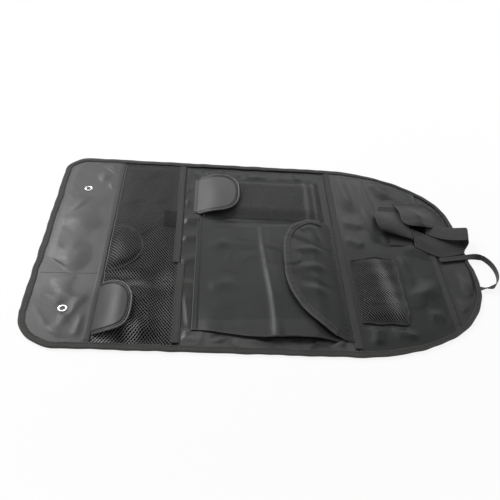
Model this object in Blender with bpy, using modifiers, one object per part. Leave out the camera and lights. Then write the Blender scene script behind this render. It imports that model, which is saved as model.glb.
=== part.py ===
"""Car seat side organizer: a long fabric panel with mesh pockets, flaps, a document pocket and straps.

It lies flat with its pockets up. Units are metres and +Z is up. The origin is the middle of what it lies
on. +X runs along the panel to its rounded nose, and +Y is the far long side.
Every sewn layer is a thin sheet. A layer's level says how many sheets lie below it.
"""
import math

import bmesh
import bpy
from mathutils import Vector

# Sheets, tapes and the play between layers that touch
SHEET = 0.0008
TAPE = 0.0006
MESH_SHEET = 0.0008
PLAY = 0.00035

# Panel outline. Its length is the sum of the bays along it.
HALF_WIDTH = 0.200
FAR_CORNER = 0.038
NEAR_CORNER = 0.056
NOSE_LENGTH = 0.196
NOSE_BEGINS = 0.003
NOSE_TAPER = 1.7
FAR_NOSE_ROUND = 0.33
NEAR_NOSE_ROUND = 0.30
TIP_DENT = 0.0078
TIP_DENT_INSET = 0.175
TIP_DENT_REACH = 0.095
TIP_DENT_DEPTH = 0.030
SEAM_ALLOWANCE = 0.001
TUCK = 0.003

# Binding folded round the panel's edge
BINDING_WIDTH = 0.010
BINDING_NARROWING = 0.0035
FOLD = TAPE / 2 + 1.2 * PLAY

# Plain top panel and its eyelets
TOP_PANEL_WIDTH = 0.095
EYELET_INSET = 0.0445
NEAR_EYELET_SHIFT = 0.0085
EYELET_FAR_INSET = 0.083
EYELET_NEAR_INSET = 0.062
EYELET_HOLE = 0.0033
EYELET_WALL = 0.0005
EYELET_FLANGE = 0.0062
EYELET_CROWN = 0.0009
HOLE_SIDES = 16
EYELET_LIP = 0.0008
LIP_THICKNESS = 0.00035
WASHER_THICKNESS = 0.0003
PANEL_PUFF = 0.0022

# Bottle mesh between the top panel's hem and the first divider tape
BOTTLE_MESH_DEPTH = 0.100
NEAR_BOTTLE_WIDTH = 0.120
BOTTLE_RISE = 0.0090
POCKET_EASE = 0.022
FOOT_EASE = 0.026
MOUTH_SET_BACK = 0.010
MESH_STRAND = 0.0034
FAR_TAPE_SHIFT = -0.0045
NEAR_TAPE_SHIFT = 0.0050
TAPE_BREAK = 0.035
DIVIDER_TAPE_WIDTH = 0.0095

# Half-round flaps
FLAP_ROOT = 0.006
PIPING_RADIUS = 0.0012
BOTTLE_FLAP_INSET = 0.064
BOTTLE_FLAP_HALF = 0.042
BOTTLE_FLAP_REACH = 0.044
BOTTLE_FLAP_RISE = 0.0155
TUCKED_FLAP_INSET = 0.061
TUCKED_FLAP_HALF = 0.044
TUCKED_FLAP_REACH = 0.046
TUCKED_FLAP_RISE = 0.0025
GLASSES_FLAP_INSET = 0.087
GLASSES_FLAP_SIDES = 0.020
FLAP_SIDES = 0.004
GLASSES_FLAP_HALF = 0.044
GLASSES_FLAP_REACH = 0.062
GLASSES_FLAP_RISE = 0.0115

# Glasses pocket and document pocket
POCKET_SET_BACK = 0.024
POCKET_LENGTH = 0.198
GLASSES_FAR_INSET = 0.038
GLASSES_WIDTH = 0.101
GLASSES_RISE = 0.0070
PLEAT_RISE = 0.0030
PLEAT_INSET = 0.024
PLEAT_REACH = 0.006
DOCUMENT_NEAR_INSET = 0.022
DOCUMENT_SLACK = 0.110
DOCUMENT_RISE = 0.0100
DOCUMENT_LOW_RISE = 0.0040
CREASE_INSET = 0.102
CREASE_REACH = 0.009
CREASE_RISE = 0.0035
GUSSET_DEPTH = 0.011

# Document flap, hinged beside the second divider tape
DOCUMENT_FLAP_FAR_INSET = 0.009
DOCUMENT_FLAP_OVERHANG = 0.008
DOCUMENT_FLAP_SIDES = 0.010
DOCUMENT_FLAP_REACH = 0.086
DOCUMENT_FLAP_LIFT = 0.0050
FLAP_SEAM = 0.004
FLAP_BEND = 0.012
FLAP_TAPE_WIDTH = 0.009

# Second divider tape, nose panel and its mesh pocket
SECOND_TAPE_SET_BACK = 0.017
NOSE_HEM_INSET = 0.054
NOSE_PUFF = 0.0020
NOSE_MESH_SET_BACK = 0.011
NOSE_MESH_DEPTH = 0.065
NOSE_MESH_WIDTH = 0.129
NOSE_MESH_INSET = 0.054
NOSE_MESH_RISE = 0.0060
ELASTIC_RADIUS = 0.0009

# Straps at the nose
STRAP_WIDTH = 0.038
STRAP = 0.0010
HOOK_STRAP_INSET = 0.1215
HOOK_STRAP_FAR_INSET = 0.103
HOOK_STRAP_RUN = 0.085
HOOK_STRAP_RISE = 0.0185
HOOK_STRAP_TWIST = 0.014
COVER_TAB_INSET = 0.095
COVER_TAB_LENGTH = 0.074
COVER_TAB_FAR_INSET = 0.082
COVER_TAB_WIDTH = 0.075
COVER_TAB_RISE = 0.0165
COVER_TAB_CORNER = 0.026
COVER_TAB_CORNER_DEPTH = 0.020
LOOP_STRAP_FAR_INSET = 0.1735
LOOP_STRAP_ROOT = 0.082
LOOP_STRAP_BACK = 0.038
LOOP_STRAP_OVERHANG = 0.004
LOOP_STRAP_HEIGHT = 0.0125
LOOP_STRAP_SKEW = 0.030
LOOP_STRAP_NARROWING = 0.24
LOOP_STRAP_SLANT = 0.22
HANG_TAPE_WIDTH = 0.009
HANG_LOOP_REACH = 0.030
HANG_LOOP_ROOT = 0.050
HANG_LOOP_FROM_STRAP = 0.0645
HANG_LOOP_HALF = 0.033

# Places worked out from the sizes above
BAYS = TOP_PANEL_WIDTH + BOTTLE_MESH_DEPTH + POCKET_SET_BACK + POCKET_LENGTH + SECOND_TAPE_SET_BACK
PANEL_LENGTH = BAYS + NOSE_BEGINS + NOSE_LENGTH
REACH_PAST_NOSE = HANG_LOOP_REACH + STRAP / 2
REACH_PAST_END = FOLD + TAPE / 2
LEFT = (REACH_PAST_END - PANEL_LENGTH - REACH_PAST_NOSE) / 2
RIGHT = LEFT + PANEL_LENGTH
PANEL_LIFT = LIP_THICKNESS + WASHER_THICKNESS + 2 * PLAY
NOSE_X = RIGHT - NOSE_LENGTH
HEM_X = LEFT + TOP_PANEL_WIDTH
FIRST_TAPE_X = HEM_X + BOTTLE_MESH_DEPTH
POCKET_X = FIRST_TAPE_X + POCKET_SET_BACK
MOUTH_X = POCKET_X + POCKET_LENGTH
SECOND_TAPE_X = MOUTH_X + SECOND_TAPE_SET_BACK
NOSE_HEM_X = RIGHT - NOSE_HEM_INSET
NOSE_MESH_X = SECOND_TAPE_X + NOSE_MESH_SET_BACK
EYELET_FAR_Y = HALF_WIDTH - EYELET_FAR_INSET
EYELET_NEAR_Y = -HALF_WIDTH + EYELET_NEAR_INSET
BOTTLE_SEAM_Y = -HALF_WIDTH + NEAR_BOTTLE_WIDTH
BOTTLE_FLAP_Y = -HALF_WIDTH + BOTTLE_FLAP_INSET
TUCKED_FLAP_Y = BOTTLE_SEAM_Y + TUCKED_FLAP_INSET
TAPE_BREAK_Y = BOTTLE_SEAM_Y + TAPE_BREAK
GLASSES_FLAP_Y = HALF_WIDTH - GLASSES_FLAP_INSET
GLASSES_FAR_Y = HALF_WIDTH - GLASSES_FAR_INSET
POCKET_SPLIT_Y = GLASSES_FAR_Y - GLASSES_WIDTH
DOCUMENT_NEAR_Y = -HALF_WIDTH + DOCUMENT_NEAR_INSET
DOCUMENT_FLAP_FAR_Y = POCKET_SPLIT_Y - DOCUMENT_FLAP_FAR_INSET
DOCUMENT_FLAP_NEAR_Y = DOCUMENT_NEAR_Y - DOCUMENT_FLAP_OVERHANG
NOSE_MESH_NEAR_Y = -HALF_WIDTH + NOSE_MESH_INSET
NOSE_MESH_FAR_Y = NOSE_MESH_NEAR_Y + NOSE_MESH_WIDTH
HOOK_STRAP_ROOT_Y = HALF_WIDTH - HOOK_STRAP_FAR_INSET
COVER_TAB_FAR_Y = HALF_WIDTH - COVER_TAB_FAR_INSET
COVER_TAB_NEAR_Y = COVER_TAB_FAR_Y - COVER_TAB_WIDTH
LOOP_STRAP_Y = HALF_WIDTH - LOOP_STRAP_FAR_INSET
HANG_LOOP_Y = LOOP_STRAP_Y - HANG_LOOP_FROM_STRAP


def level(sheets_below, thickness=SHEET):
    """Height of the middle of a layer that has this many sheets below it."""
    return PANEL_LIFT + sheets_below * (SHEET + PLAY) + thickness / 2


BINDING_TOP = level(2, TAPE)
BINDING_BOTTOM = TAPE / 2


def smooth(t):
    """Eases from 0 to 1 as t goes from 0 to 1."""
    t = min(1.0, max(0.0, t))
    return t * t * (3 - 2 * t)


def hill(x, y, centre_x, centre_y, reach_x, reach_y):
    """A round hill of height 1 that ends at its reach."""
    inside = 1 - ((x - centre_x) / reach_x) ** 2 - ((y - centre_y) / reach_y) ** 2
    return max(0.0, inside) ** 2


def between(values, t):
    """Reads a list of values at t from 0 to 1, straight between its entries."""
    place = min(1.0, max(0.0, t)) * (len(values) - 1)
    first = min(int(place), len(values) - 2)
    return values[first] + (values[first + 1] - values[first]) * (place - first)


def nose_side(x, sharpness):
    """Distance from the middle line to the panel's side at x: straight, then rounded off towards the nose."""
    share = min(1.0, max(0.0, (x - NOSE_X) / NOSE_LENGTH))
    return HALF_WIDTH * (1 - share ** NOSE_TAPER) ** sharpness


def tip_dent(x, y):
    """How far the nose's tip is drawn in at this place. Its middle is nearly straight."""
    off = (y - HALF_WIDTH + TIP_DENT_INSET) / TIP_DENT_REACH
    deep = smooth((x - RIGHT + TIP_DENT_DEPTH + BINDING_WIDTH) / TIP_DENT_DEPTH)
    return TIP_DENT * max(0.0, 1 - off * off) ** 2 * deep


def left_edge(y, inset):
    """X at y of a line that runs this far inside the square end and its two rounded corners."""
    corner = FAR_CORNER if y > 0 else NEAR_CORNER
    past = max(0.0, abs(y) - (HALF_WIDTH - corner))
    return LEFT + corner - math.sqrt(max(0.0, (corner - inset) ** 2 - past ** 2))


def outline():
    """Points round the panel's edge, counterclockwise from the near end of the square end."""
    points = []
    corner_steps, nose_steps = 6, 13
    for step in range(corner_steps + 1):
        angle = math.pi + math.pi / 2 * step / corner_steps
        centre_x, centre_y = LEFT + NEAR_CORNER, -HALF_WIDTH + NEAR_CORNER
        points.append((centre_x + NEAR_CORNER * math.cos(angle), centre_y + NEAR_CORNER * math.sin(angle)))
    points.append((FIRST_TAPE_X, -HALF_WIDTH))
    nose = []
    for step in range(nose_steps):
        angle = math.pi / 2 * step / nose_steps
        x = NOSE_X + NOSE_LENGTH * math.sin(angle) ** (2 / NOSE_TAPER)
        nose.append((x, -HALF_WIDTH * math.cos(angle) ** (2 * NEAR_NOSE_ROUND)))
    nose.append((RIGHT, 0.0))
    for step in reversed(range(nose_steps)):
        angle = math.pi / 2 * step / nose_steps
        x = NOSE_X + NOSE_LENGTH * math.sin(angle) ** (2 / NOSE_TAPER)
        nose.append((x, HALF_WIDTH * math.cos(angle) ** (2 * FAR_NOSE_ROUND)))
    points += [(x - tip_dent(x, y), y) for x, y in nose]
    points.append((FIRST_TAPE_X, HALF_WIDTH))
    for step in range(corner_steps + 1):
        angle = math.pi / 2 + math.pi / 2 * step / corner_steps
        centre_x, centre_y = LEFT + FAR_CORNER, HALF_WIDTH - FAR_CORNER
        points.append((centre_x + FAR_CORNER * math.cos(angle), centre_y + FAR_CORNER * math.sin(angle)))
    return points


# Object helpers

def clear_scene():
    for old in list(bpy.data.objects):
        bpy.data.objects.remove(old)


def collection(name):
    made = bpy.data.collections.new(name)
    bpy.context.scene.collection.children.link(made)
    return made


def finish(name, colour, roughness, metallic=0.0):
    material = bpy.data.materials.new(name)
    material.use_nodes = True
    shader = material.node_tree.nodes["Principled BSDF"]
    shader.inputs["Base Color"].default_value = (*colour, 1.0)
    shader.inputs["Roughness"].default_value = roughness
    shader.inputs["Metallic"].default_value = metallic
    return material


def add_object(name, data, material):
    made = bpy.data.objects.new(name, data)
    made.data.materials.append(material)
    PARTS.objects.link(made)
    return made


def thicken(piece, thickness):
    shell = piece.modifiers.new("thickness", "SOLIDIFY")
    shell.thickness = thickness
    shell.offset = 0.0


def sheet(name, columns, rows, point, thickness, material, strand=None):
    """A sheet whose middle is point(u, v), u and v from 0 to 1. With a strand width it is an open mesh."""
    work = bmesh.new()
    bmesh.ops.create_grid(work, x_segments=columns, y_segments=rows, size=1.0)
    for vert in work.verts:
        vert.co = Vector(point((vert.co.x + 1) / 2, (vert.co.y + 1) / 2))
    if strand:
        cells = list(work.faces)
        bmesh.ops.inset_individual(work, faces=cells, thickness=strand / 2, use_even_offset=True)
        bmesh.ops.delete(work, geom=cells, context="FACES")
    data = bpy.data.meshes.new(name)
    work.to_mesh(data)
    work.free()
    data.shade_smooth()
    piece = add_object(name, data, material)
    thicken(piece, thickness)
    return piece


def folded_tape(name, edge, inward, width, height, top, bottom, material, closed):
    """A tape folded round an edge. It runs in over the top by width(x), and back as far below.

    edge and inward are lists of points and unit directions, height(x, y) is the bound sheet's middle,
    and top and bottom are the tape's own middle above and below that.
    """
    work = bmesh.new()
    rings = []
    for (x, y), (in_x, in_y) in zip(edge, inward):
        section = ((width(x), top), (0.0, top), (-FOLD, top - 0.3 * FOLD), (-FOLD, bottom + 0.3 * FOLD),
                   (0.0, bottom), (width(x), bottom))
        ring = []
        for depth, offset in section:
            held = max(0.0, depth)
            z = height(x + in_x * held, y + in_y * held) + offset
            ring.append(work.verts.new((x + in_x * depth, y + in_y * depth, z)))
        rings.append(ring)
    pairs = list(zip(rings, rings[1:] + rings[:1])) if closed else list(zip(rings, rings[1:]))
    for ring, following in pairs:
        for k in range(len(section) - 1):
            work.faces.new((ring[k], ring[k + 1], following[k + 1], following[k]))
    data = bpy.data.meshes.new(name)
    work.to_mesh(data)
    work.free()
    piece = add_object(name, data, material)
    thicken(piece, TAPE)
    piece.modifiers["thickness"].use_even_offset = True
    return piece


def inward_directions(points, closed):
    """Unit directions to the left of a path, which is inwards on a counterclockwise outline."""
    found = []
    last = len(points) - 1
    for i in range(len(points)):
        before = points[i - 1] if closed or i > 0 else points[i]
        after = points[(i + 1) % len(points)] if closed or i < last else points[i]
        along = Vector((after[0] - before[0], after[1] - before[1])).normalized()
        found.append((-along.y, along.x))
    return found


def tube(name, points, radius, material):
    """A round cord along a list of points, with filled ends."""
    data = bpy.data.curves.new(name, "CURVE")
    data.dimensions = "3D"
    data.bevel_depth = radius
    data.bevel_resolution = 1
    data.use_fill_caps = True
    line = data.splines.new("POLY")
    line.points.add(len(points) - 1)
    for place, point in zip(line.points, points):
        place.co = (*point, 1.0)
    return add_object(name, data, material)


def turned(name, profile, x, y, material):
    """A ring turned about the vertical through x, y. The profile is a closed loop of (radius, height)."""
    data = bpy.data.meshes.new(name)
    corners = [(radius, 0.0, height) for radius, height in profile]
    data.from_pydata(corners, [(i, (i + 1) % len(corners)) for i in range(len(corners))], [])
    piece = add_object(name, data, material)
    piece.location = (x, y, 0.0)
    spin = piece.modifiers.new("turn", "SCREW")
    spin.steps = spin.render_steps = HOLE_SIDES
    spin.use_merge_vertices = True
    spin.merge_threshold = 0.00001
    spin.use_normal_calculate = True
    spin.use_normal_flip = True
    return piece


# Panel and binding

def eyelet_places():
    x = LEFT + EYELET_INSET
    return (("far", x, EYELET_FAR_Y), ("near", x + NEAR_EYELET_SHIFT, EYELET_NEAR_Y))


def eyelet_clearance():
    """Radius of the hole's corners, so that its flats stay clear of the barrel."""
    return (EYELET_HOLE + EYELET_WALL + 1.2 * PLAY) / math.cos(math.pi / HOLE_SIDES)


def make_base_panel():
    data = bpy.data.curves.new("base_panel", "CURVE")
    data.dimensions = "2D"
    data.fill_mode = "BOTH"
    data.extrude = SHEET / 2
    loops = [outline()]
    for _, x, y in eyelet_places():
        turns = [2 * math.pi * step / HOLE_SIDES for step in range(HOLE_SIDES)]
        loops.append([(x + eyelet_clearance() * math.cos(a), y + eyelet_clearance() * math.sin(a)) for a in turns])
    for loop in loops:
        line = data.splines.new("POLY")
        line.points.add(len(loop) - 1)
        for place, (x, y) in zip(line.points, loop):
            place.co = (x, y, 0.0, 1.0)
        line.use_cyclic_u = True
    piece = add_object("base_panel", data, NYLON)
    piece.location.z = level(0)


def make_edge_binding():
    edge = outline()
    inward = inward_directions(edge, True)
    folded_tape("edge_binding", edge, inward, binding_width, lambda x, y: 0.0,
                BINDING_TOP, BINDING_BOTTOM, BINDING, True)


def binding_width(x):
    """The tape is turned further over the top along the sides than round the nose."""
    return BINDING_WIDTH - BINDING_NARROWING * smooth((x - NOSE_X) / (NOSE_LENGTH / 2))


# Top panel with its eyelets

def top_panel_height(x, y):
    """The plain panel puffs up between its seams and stays flat at its edges and eyelets."""
    wide, high = TOP_PANEL_WIDTH, HALF_WIDTH
    puff = hill(x, y, LEFT + 0.53 * wide, 0.26 * high, 0.32 * wide, 0.23 * high)
    puff += hill(x, y, LEFT + 0.58 * wide, -0.20 * high, 0.29 * wide, 0.17 * high)
    puff += 0.8 * hill(x, y, LEFT + 0.67 * wide, 0.76 * high, 0.21 * wide, 0.12 * high)
    return level(1) + PANEL_PUFF * puff


def make_top_panel():
    half = HALF_WIDTH - SEAM_ALLOWANCE

    def point(u, v):
        y = (2 * v - 1) * half
        start = left_edge(y, SEAM_ALLOWANCE)
        x = start + (HEM_X - start) * u
        return x, y, top_panel_height(x, y)

    piece = sheet("top_panel", 8, 18, point, SHEET, NYLON)
    for name, x, y in eyelet_places():
        bpy.ops.mesh.primitive_cylinder_add(vertices=HOLE_SIDES, radius=eyelet_clearance(), depth=0.02,
                                            location=(x, y, 0.0))
        cutter = bpy.context.object
        cutter.name = f"cutter_eyelet_{name}"
        for holder in list(cutter.users_collection):
            holder.objects.unlink(cutter)
        CUTTERS.objects.link(cutter)
        cutter.hide_render = True
        cutter.display_type = "WIRE"
        cut = piece.modifiers.new(f"hole_{name}", "BOOLEAN")
        cut.object = cutter
        cut.operation = "DIFFERENCE"


def make_eyelets():
    """Each eyelet is a barrel with a crowned flange above, rolled over a washer below."""
    inner, outer = EYELET_HOLE, EYELET_HOLE + EYELET_WALL
    seat = level(1) + SHEET / 2 + PLAY
    crown = seat + EYELET_CROWN
    washer_top = PANEL_LIFT - PLAY
    washer_bottom = washer_top - WASHER_THICKNESS
    lip_top = washer_bottom - PLAY
    lip_bottom = 0.0
    lip = outer + EYELET_LIP
    middle = (inner + EYELET_FLANGE) / 2
    barrel = ((inner, seat + EYELET_WALL), (middle, crown), (EYELET_FLANGE - 0.0003, seat + EYELET_WALL),
              (EYELET_FLANGE, seat), (outer, seat), (outer, lip_top), (lip, lip_top), (lip, lip_bottom),
              (inner, lip_bottom))
    washer = ((lip, washer_top), (EYELET_FLANGE, washer_top), (EYELET_FLANGE, washer_bottom),
              (outer + PLAY, washer_bottom), (outer + PLAY, washer_top))
    for name, x, y in eyelet_places():
        turned(f"eyelet_{name}", barrel, x, y, STEEL)
        turned(f"eyelet_washer_{name}", washer, x, y, STEEL)


# Bottle mesh and the first divider tape

def bottle_side():
    """Distance from the middle of the panel to where the mesh goes under the binding."""
    return HALF_WIDTH - BINDING_WIDTH - SEAM_ALLOWANCE - PLAY


def bottle_foot():
    """X where the mesh goes under the first divider tape."""
    return FIRST_TAPE_X + FAR_TAPE_SHIFT - DIVIDER_TAPE_WIDTH / 2 - SEAM_ALLOWANCE - PLAY


def bottle_mesh_height(x, y):
    """Two pockets side by side, each low at its seams and tall at its mouth beside the hem."""
    side = min(abs(y - BOTTLE_SEAM_Y), bottle_side() - abs(y))
    rise = smooth(side / POCKET_EASE) * smooth((bottle_foot() - x) / FOOT_EASE)
    return level(1, MESH_SHEET) + BOTTLE_RISE * rise


def bottle_mouth_x(y):
    """The mouth stands back from the hem under the flap, and lies beside it in the far pocket."""
    return HEM_X + TUCK / 2 + MOUTH_SET_BACK * smooth((BOTTLE_SEAM_Y - y) / MOUTH_SET_BACK + 1)


def make_bottle_mesh():
    edge = HALF_WIDTH - SEAM_ALLOWANCE
    sewn = bottle_side()
    near_steps, far_steps = 5, 10
    rows = [-edge]
    rows += [-sewn + (BOTTLE_SEAM_Y + sewn) * step / near_steps for step in range(near_steps)]
    rows += [BOTTLE_SEAM_Y + (sewn - BOTTLE_SEAM_Y) * step / far_steps for step in range(far_steps + 1)]
    rows.append(edge)

    def point(u, v):
        y = between(rows, v)
        start, foot, end = bottle_mouth_x(y), bottle_foot(), FIRST_TAPE_X + TUCK
        x = between([start, 0.75 * start + 0.25 * foot, (start + foot) / 2, 0.25 * start + 0.75 * foot,
                     foot, end], u)
        return x, y, bottle_mesh_height(x, y)

    sheet("bottle_mesh", 5, len(rows) - 1, point, MESH_SHEET, MESH, MESH_STRAND)


def straight_tape(name, x_far, y_far, x_near, y_near, width, height, material):
    """A flat tape from its far end to its near end."""
    def point(u, v):
        x = x_far + (x_near - x_far) * v + width * (u - 0.5)
        return x, y_far + (y_near - y_far) * v, height

    sheet(name, 1, 6, point, TAPE, material)


def make_divider_tapes():
    height = level(2, TAPE) + PLAY / 2
    end = HALF_WIDTH - BINDING_WIDTH - 2 * PLAY
    far_x = FIRST_TAPE_X + FAR_TAPE_SHIFT
    near_x = FIRST_TAPE_X + NEAR_TAPE_SHIFT
    straight_tape("divider_tape_1_far", far_x, end, far_x + TUCK, TAPE_BREAK_Y + PLAY,
                  DIVIDER_TAPE_WIDTH, height, BINDING)
    straight_tape("divider_tape_1_near", near_x, TAPE_BREAK_Y - PLAY, near_x, -end,
                  DIVIDER_TAPE_WIDTH, height, BINDING)
    straight_tape("divider_tape_2", SECOND_TAPE_X, end, SECOND_TAPE_X, -end, DIVIDER_TAPE_WIDTH, height, BINDING)


# Half-round flaps with piping

def flap_reach(v, reach, shoulder):
    """How far the flap reaches at v from -1 to 1 across it: a half ellipse past short straight sides."""
    return shoulder + (reach - shoulder) * math.sqrt(max(0.0, 1 - v * v))


def half_round_flap(name, hinge_x, centre_y, half, reach, shoulder, height, material):
    """A flap hinged along Y at hinge_x, with a piping cord round its free edge. height(x, y) is its middle."""
    def place(u, v):
        across = 2 * v - 1
        x = hinge_x - FLAP_ROOT + u * (FLAP_ROOT + flap_reach(across, reach, shoulder))
        y = centre_y + across * half
        return x, y, height(x, y)

    sheet(name, 9, 12, place, SHEET, material)
    steps = 16
    out = PIPING_RADIUS + 2 * PLAY
    edge = [(0.0, -1.0)]
    for step in range(steps + 1):
        angle = -math.pi / 2 + math.pi * step / steps
        edge.append((math.cos(angle), math.sin(angle)))
    edge.append((0.0, 1.0))
    cord = []
    for k, (ahead, across) in enumerate(edge):
        start = hinge_x + (TUCK / 2 if k in (0, len(edge) - 1) else shoulder)
        z = height(start + (reach - shoulder) * ahead, centre_y + half * across)
        cord.append((start + (reach - shoulder + out) * ahead, centre_y + (half + out) * across,
                     max(z, level(0) + SHEET / 2 + PLAY + PIPING_RADIUS)))
    tube(f"{name}_piping", cord, PIPING_RADIUS, PIPING)


def bottle_flap_height(x, y):
    """Rises steeply from the hem over the pocket's mouth, then falls a little to its free edge."""
    along = (x - HEM_X) / BOTTLE_FLAP_REACH
    across = (y - BOTTLE_FLAP_Y) / BOTTLE_FLAP_HALF
    rise = math.sin(math.pi / 2 * min(1.0, max(0.0, along) / 0.34))
    fall = 0.10 * max(0.0, along - 0.34) + 0.10 * across * across
    return level(2) + BOTTLE_FLAP_RISE * rise * (1 - fall)


def tucked_flap_height(x, y):
    """Dips from the hem into the far pocket and lies under the mesh."""
    along = (x - HEM_X) / TUCKED_FLAP_REACH
    return level(2) + TUCKED_FLAP_RISE * smooth(along / 0.5)


def glasses_flap_height(x, y):
    along = (x - POCKET_X) / GLASSES_FLAP_REACH
    across = (y - GLASSES_FLAP_Y) / GLASSES_FLAP_HALF
    rise = math.sin(math.pi / 2 * min(1.0, max(0.0, along) / 0.25))
    return level(1) + GLASSES_FLAP_RISE * rise * (1 - 0.06 * across * across)


def make_flaps():
    half_round_flap("bottle_flap", HEM_X, BOTTLE_FLAP_Y, BOTTLE_FLAP_HALF, BOTTLE_FLAP_REACH, FLAP_SIDES,
                    bottle_flap_height, NYLON)
    half_round_flap("tucked_flap", HEM_X, TUCKED_FLAP_Y, TUCKED_FLAP_HALF, TUCKED_FLAP_REACH, FLAP_SIDES,
                    tucked_flap_height, NYLON)
    half_round_flap("glasses_flap", POCKET_X, GLASSES_FLAP_Y, GLASSES_FLAP_HALF, GLASSES_FLAP_REACH,
                    GLASSES_FLAP_SIDES, glasses_flap_height, NYLON)


# Glasses pocket and document pocket

def glasses_pocket_height(x, y):
    """A low mesh pocket, open beside its flap, with two pleats at its far end."""
    side = min(GLASSES_FAR_Y - y, y - POCKET_SPLIT_Y)
    foot = MOUTH_X - x
    rise = smooth(side / POCKET_EASE) * smooth(foot / POCKET_EASE)
    pleat = PLEAT_RISE * math.exp(-(((foot - PLEAT_INSET) / PLEAT_REACH) ** 2)) * smooth(side / POCKET_EASE)
    return level(1, MESH_SHEET) + GLASSES_RISE * rise + pleat


def make_glasses_pocket():
    rows = [POCKET_SPLIT_Y, POCKET_SPLIT_Y + POCKET_EASE, (POCKET_SPLIT_Y + GLASSES_FAR_Y) / 2,
            GLASSES_FAR_Y - POCKET_EASE, GLASSES_FAR_Y]
    start = POCKET_X + MOUTH_SET_BACK
    columns = [0.0, 0.13, 0.26, 0.39, 0.52, 0.65, 0.78, 0.87, 1.0]

    def point(u, v):
        x = start + (MOUTH_X - start) * between(columns, u)
        y = between(rows, v)
        return x, y, glasses_pocket_height(x, y)

    sheet("glasses_pocket", len(columns) - 1, len(rows) - 1, point, MESH_SHEET, MESH, MESH_STRAND)


def document_rise(x):
    """The pocket is slack on its left and stands tall at its mouth."""
    share = smooth((x - POCKET_X - POCKET_EASE) / DOCUMENT_SLACK)
    return DOCUMENT_LOW_RISE + (DOCUMENT_RISE - DOCUMENT_LOW_RISE) * share


def document_pocket_height(x, y):
    crease = CREASE_RISE * math.exp(-(((x - POCKET_X - CREASE_INSET) / CREASE_REACH) ** 2))
    side = smooth((POCKET_SPLIT_Y - 2 * PLAY - y) / FOOT_EASE)
    foot = smooth((x - POCKET_X) / POCKET_EASE)
    return level(1) + (document_rise(x) + crease) * side * foot


def make_document_pocket():
    """Sewn on its left and far sides, with a bellows gusset on its near side, and open at its right."""
    top = POCKET_SPLIT_Y - 2 * PLAY
    fold = DOCUMENT_NEAR_Y
    span = top - fold
    rows = ((top, 1.0), (top - FOOT_EASE / 2, 1.0), (top - FOOT_EASE, 1.0), (top - 0.3 * span, 1.0),
            (top - 0.5 * span, 1.0), (top - 0.7 * span, 1.0), (fold + POCKET_EASE, 1.0), (fold, 0.97),
            (fold + GUSSET_DEPTH, 0.45), (fold + SEAM_ALLOWANCE, 0.0))
    places = [row[0] for row in rows]
    shares = [row[1] for row in rows]

    def point(u, v):
        x = POCKET_X + POCKET_LENGTH * u
        y = between(places, v)
        share = between(shares, v)
        low = level(1)
        full = document_pocket_height(x, max(y, fold))
        return x, y, low + (full - low) * share

    sheet("document_pocket", 16, len(rows) - 1, point, SHEET, NYLON)


# Document flap with its own binding

def document_flap_shape(v):
    """Reach of the flap at v from 0, near, to 1, far: a long round near corner and a tight far one."""
    across = 2 * v - 1
    if across > 0:
        round_off = (1 - across ** 4) ** 0.45
    else:
        round_off = (1 - across ** 2) ** 0.85
    return DOCUMENT_FLAP_SIDES + (DOCUMENT_FLAP_REACH - DOCUMENT_FLAP_SIDES) * round_off


def close_at_ends(v):
    """Spaces even steps closer together towards 0 and 1."""
    return 0.5 - 0.5 * math.cos(math.pi * v)


def document_flap_y(v):
    return DOCUMENT_FLAP_NEAR_Y + (DOCUMENT_FLAP_FAR_Y - DOCUMENT_FLAP_NEAR_Y) * v


def document_flap_height(x, y):
    """Lies on the panel at its hinge, stands clear of the pocket's mouth and settles towards its edge."""
    root = level(1)
    away = flap_hinge_x() - FLAP_SEAM - x
    return root + (DOCUMENT_RISE + DOCUMENT_FLAP_LIFT) * smooth(away / FLAP_BEND)


def flap_hinge_x():
    return SECOND_TAPE_X - DIVIDER_TAPE_WIDTH / 2 + TUCK


def make_document_flap():
    hinge = flap_hinge_x()

    def point(u, v):
        v = close_at_ends(v)
        reach = document_flap_shape(v)
        bend = FLAP_SEAM + min(FLAP_BEND, (reach - FLAP_SEAM) * 0.4)
        steps = [0.0, FLAP_SEAM, (FLAP_SEAM + bend) / 2]
        steps += [bend + (reach - bend) * k / 4 for k in range(5)]
        x = hinge - between(steps, u)
        y = document_flap_y(v)
        return x, y, document_flap_height(x, y)

    rows = 16
    sheet("document_flap", 7, rows, point, SHEET, NYLON)
    shares = [close_at_ends(step / rows) for step in range(rows + 1)]
    edge = [(hinge - document_flap_shape(v), document_flap_y(v)) for v in reversed(shares)]
    inward = inward_directions(edge, False)
    level_from = hinge - FLAP_SEAM - FLAP_BEND - 2 * TUCK
    held = [k for k, (x, _) in enumerate(edge) if x + inward[k][0] * FLAP_TAPE_WIDTH < level_from]
    edge, inward = [edge[k] for k in held], [inward[k] for k in held]
    offset = SHEET / 2 + PLAY + TAPE / 2
    folded_tape("document_flap_binding", edge, inward, lambda x: FLAP_TAPE_WIDTH, document_flap_height,
                offset, -offset, BINDING, False)


# Nose panel and its mesh pocket

def nose_panel_height(x, y):
    span = NOSE_HEM_X - NOSE_MESH_X - NOSE_MESH_DEPTH
    centre = NOSE_HEM_X - span / 2
    return level(1) + NOSE_PUFF * hill(x, y, centre, -0.45 * HALF_WIDTH, span / 2, 0.24 * HALF_WIDTH)


def make_nose_panel():
    start = SECOND_TAPE_X + TUCK / 2

    def point(u, v):
        x = start + (NOSE_HEM_X - start) * u
        near = 2 * SEAM_ALLOWANCE - nose_side(x, NEAR_NOSE_ROUND)
        far = nose_side(x, FAR_NOSE_ROUND) - 2 * SEAM_ALLOWANCE
        y = near + (far - near) * v
        return x, y, nose_panel_height(x, y)

    sheet("nose_panel", 8, 14, point, SHEET, NYLON)


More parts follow.
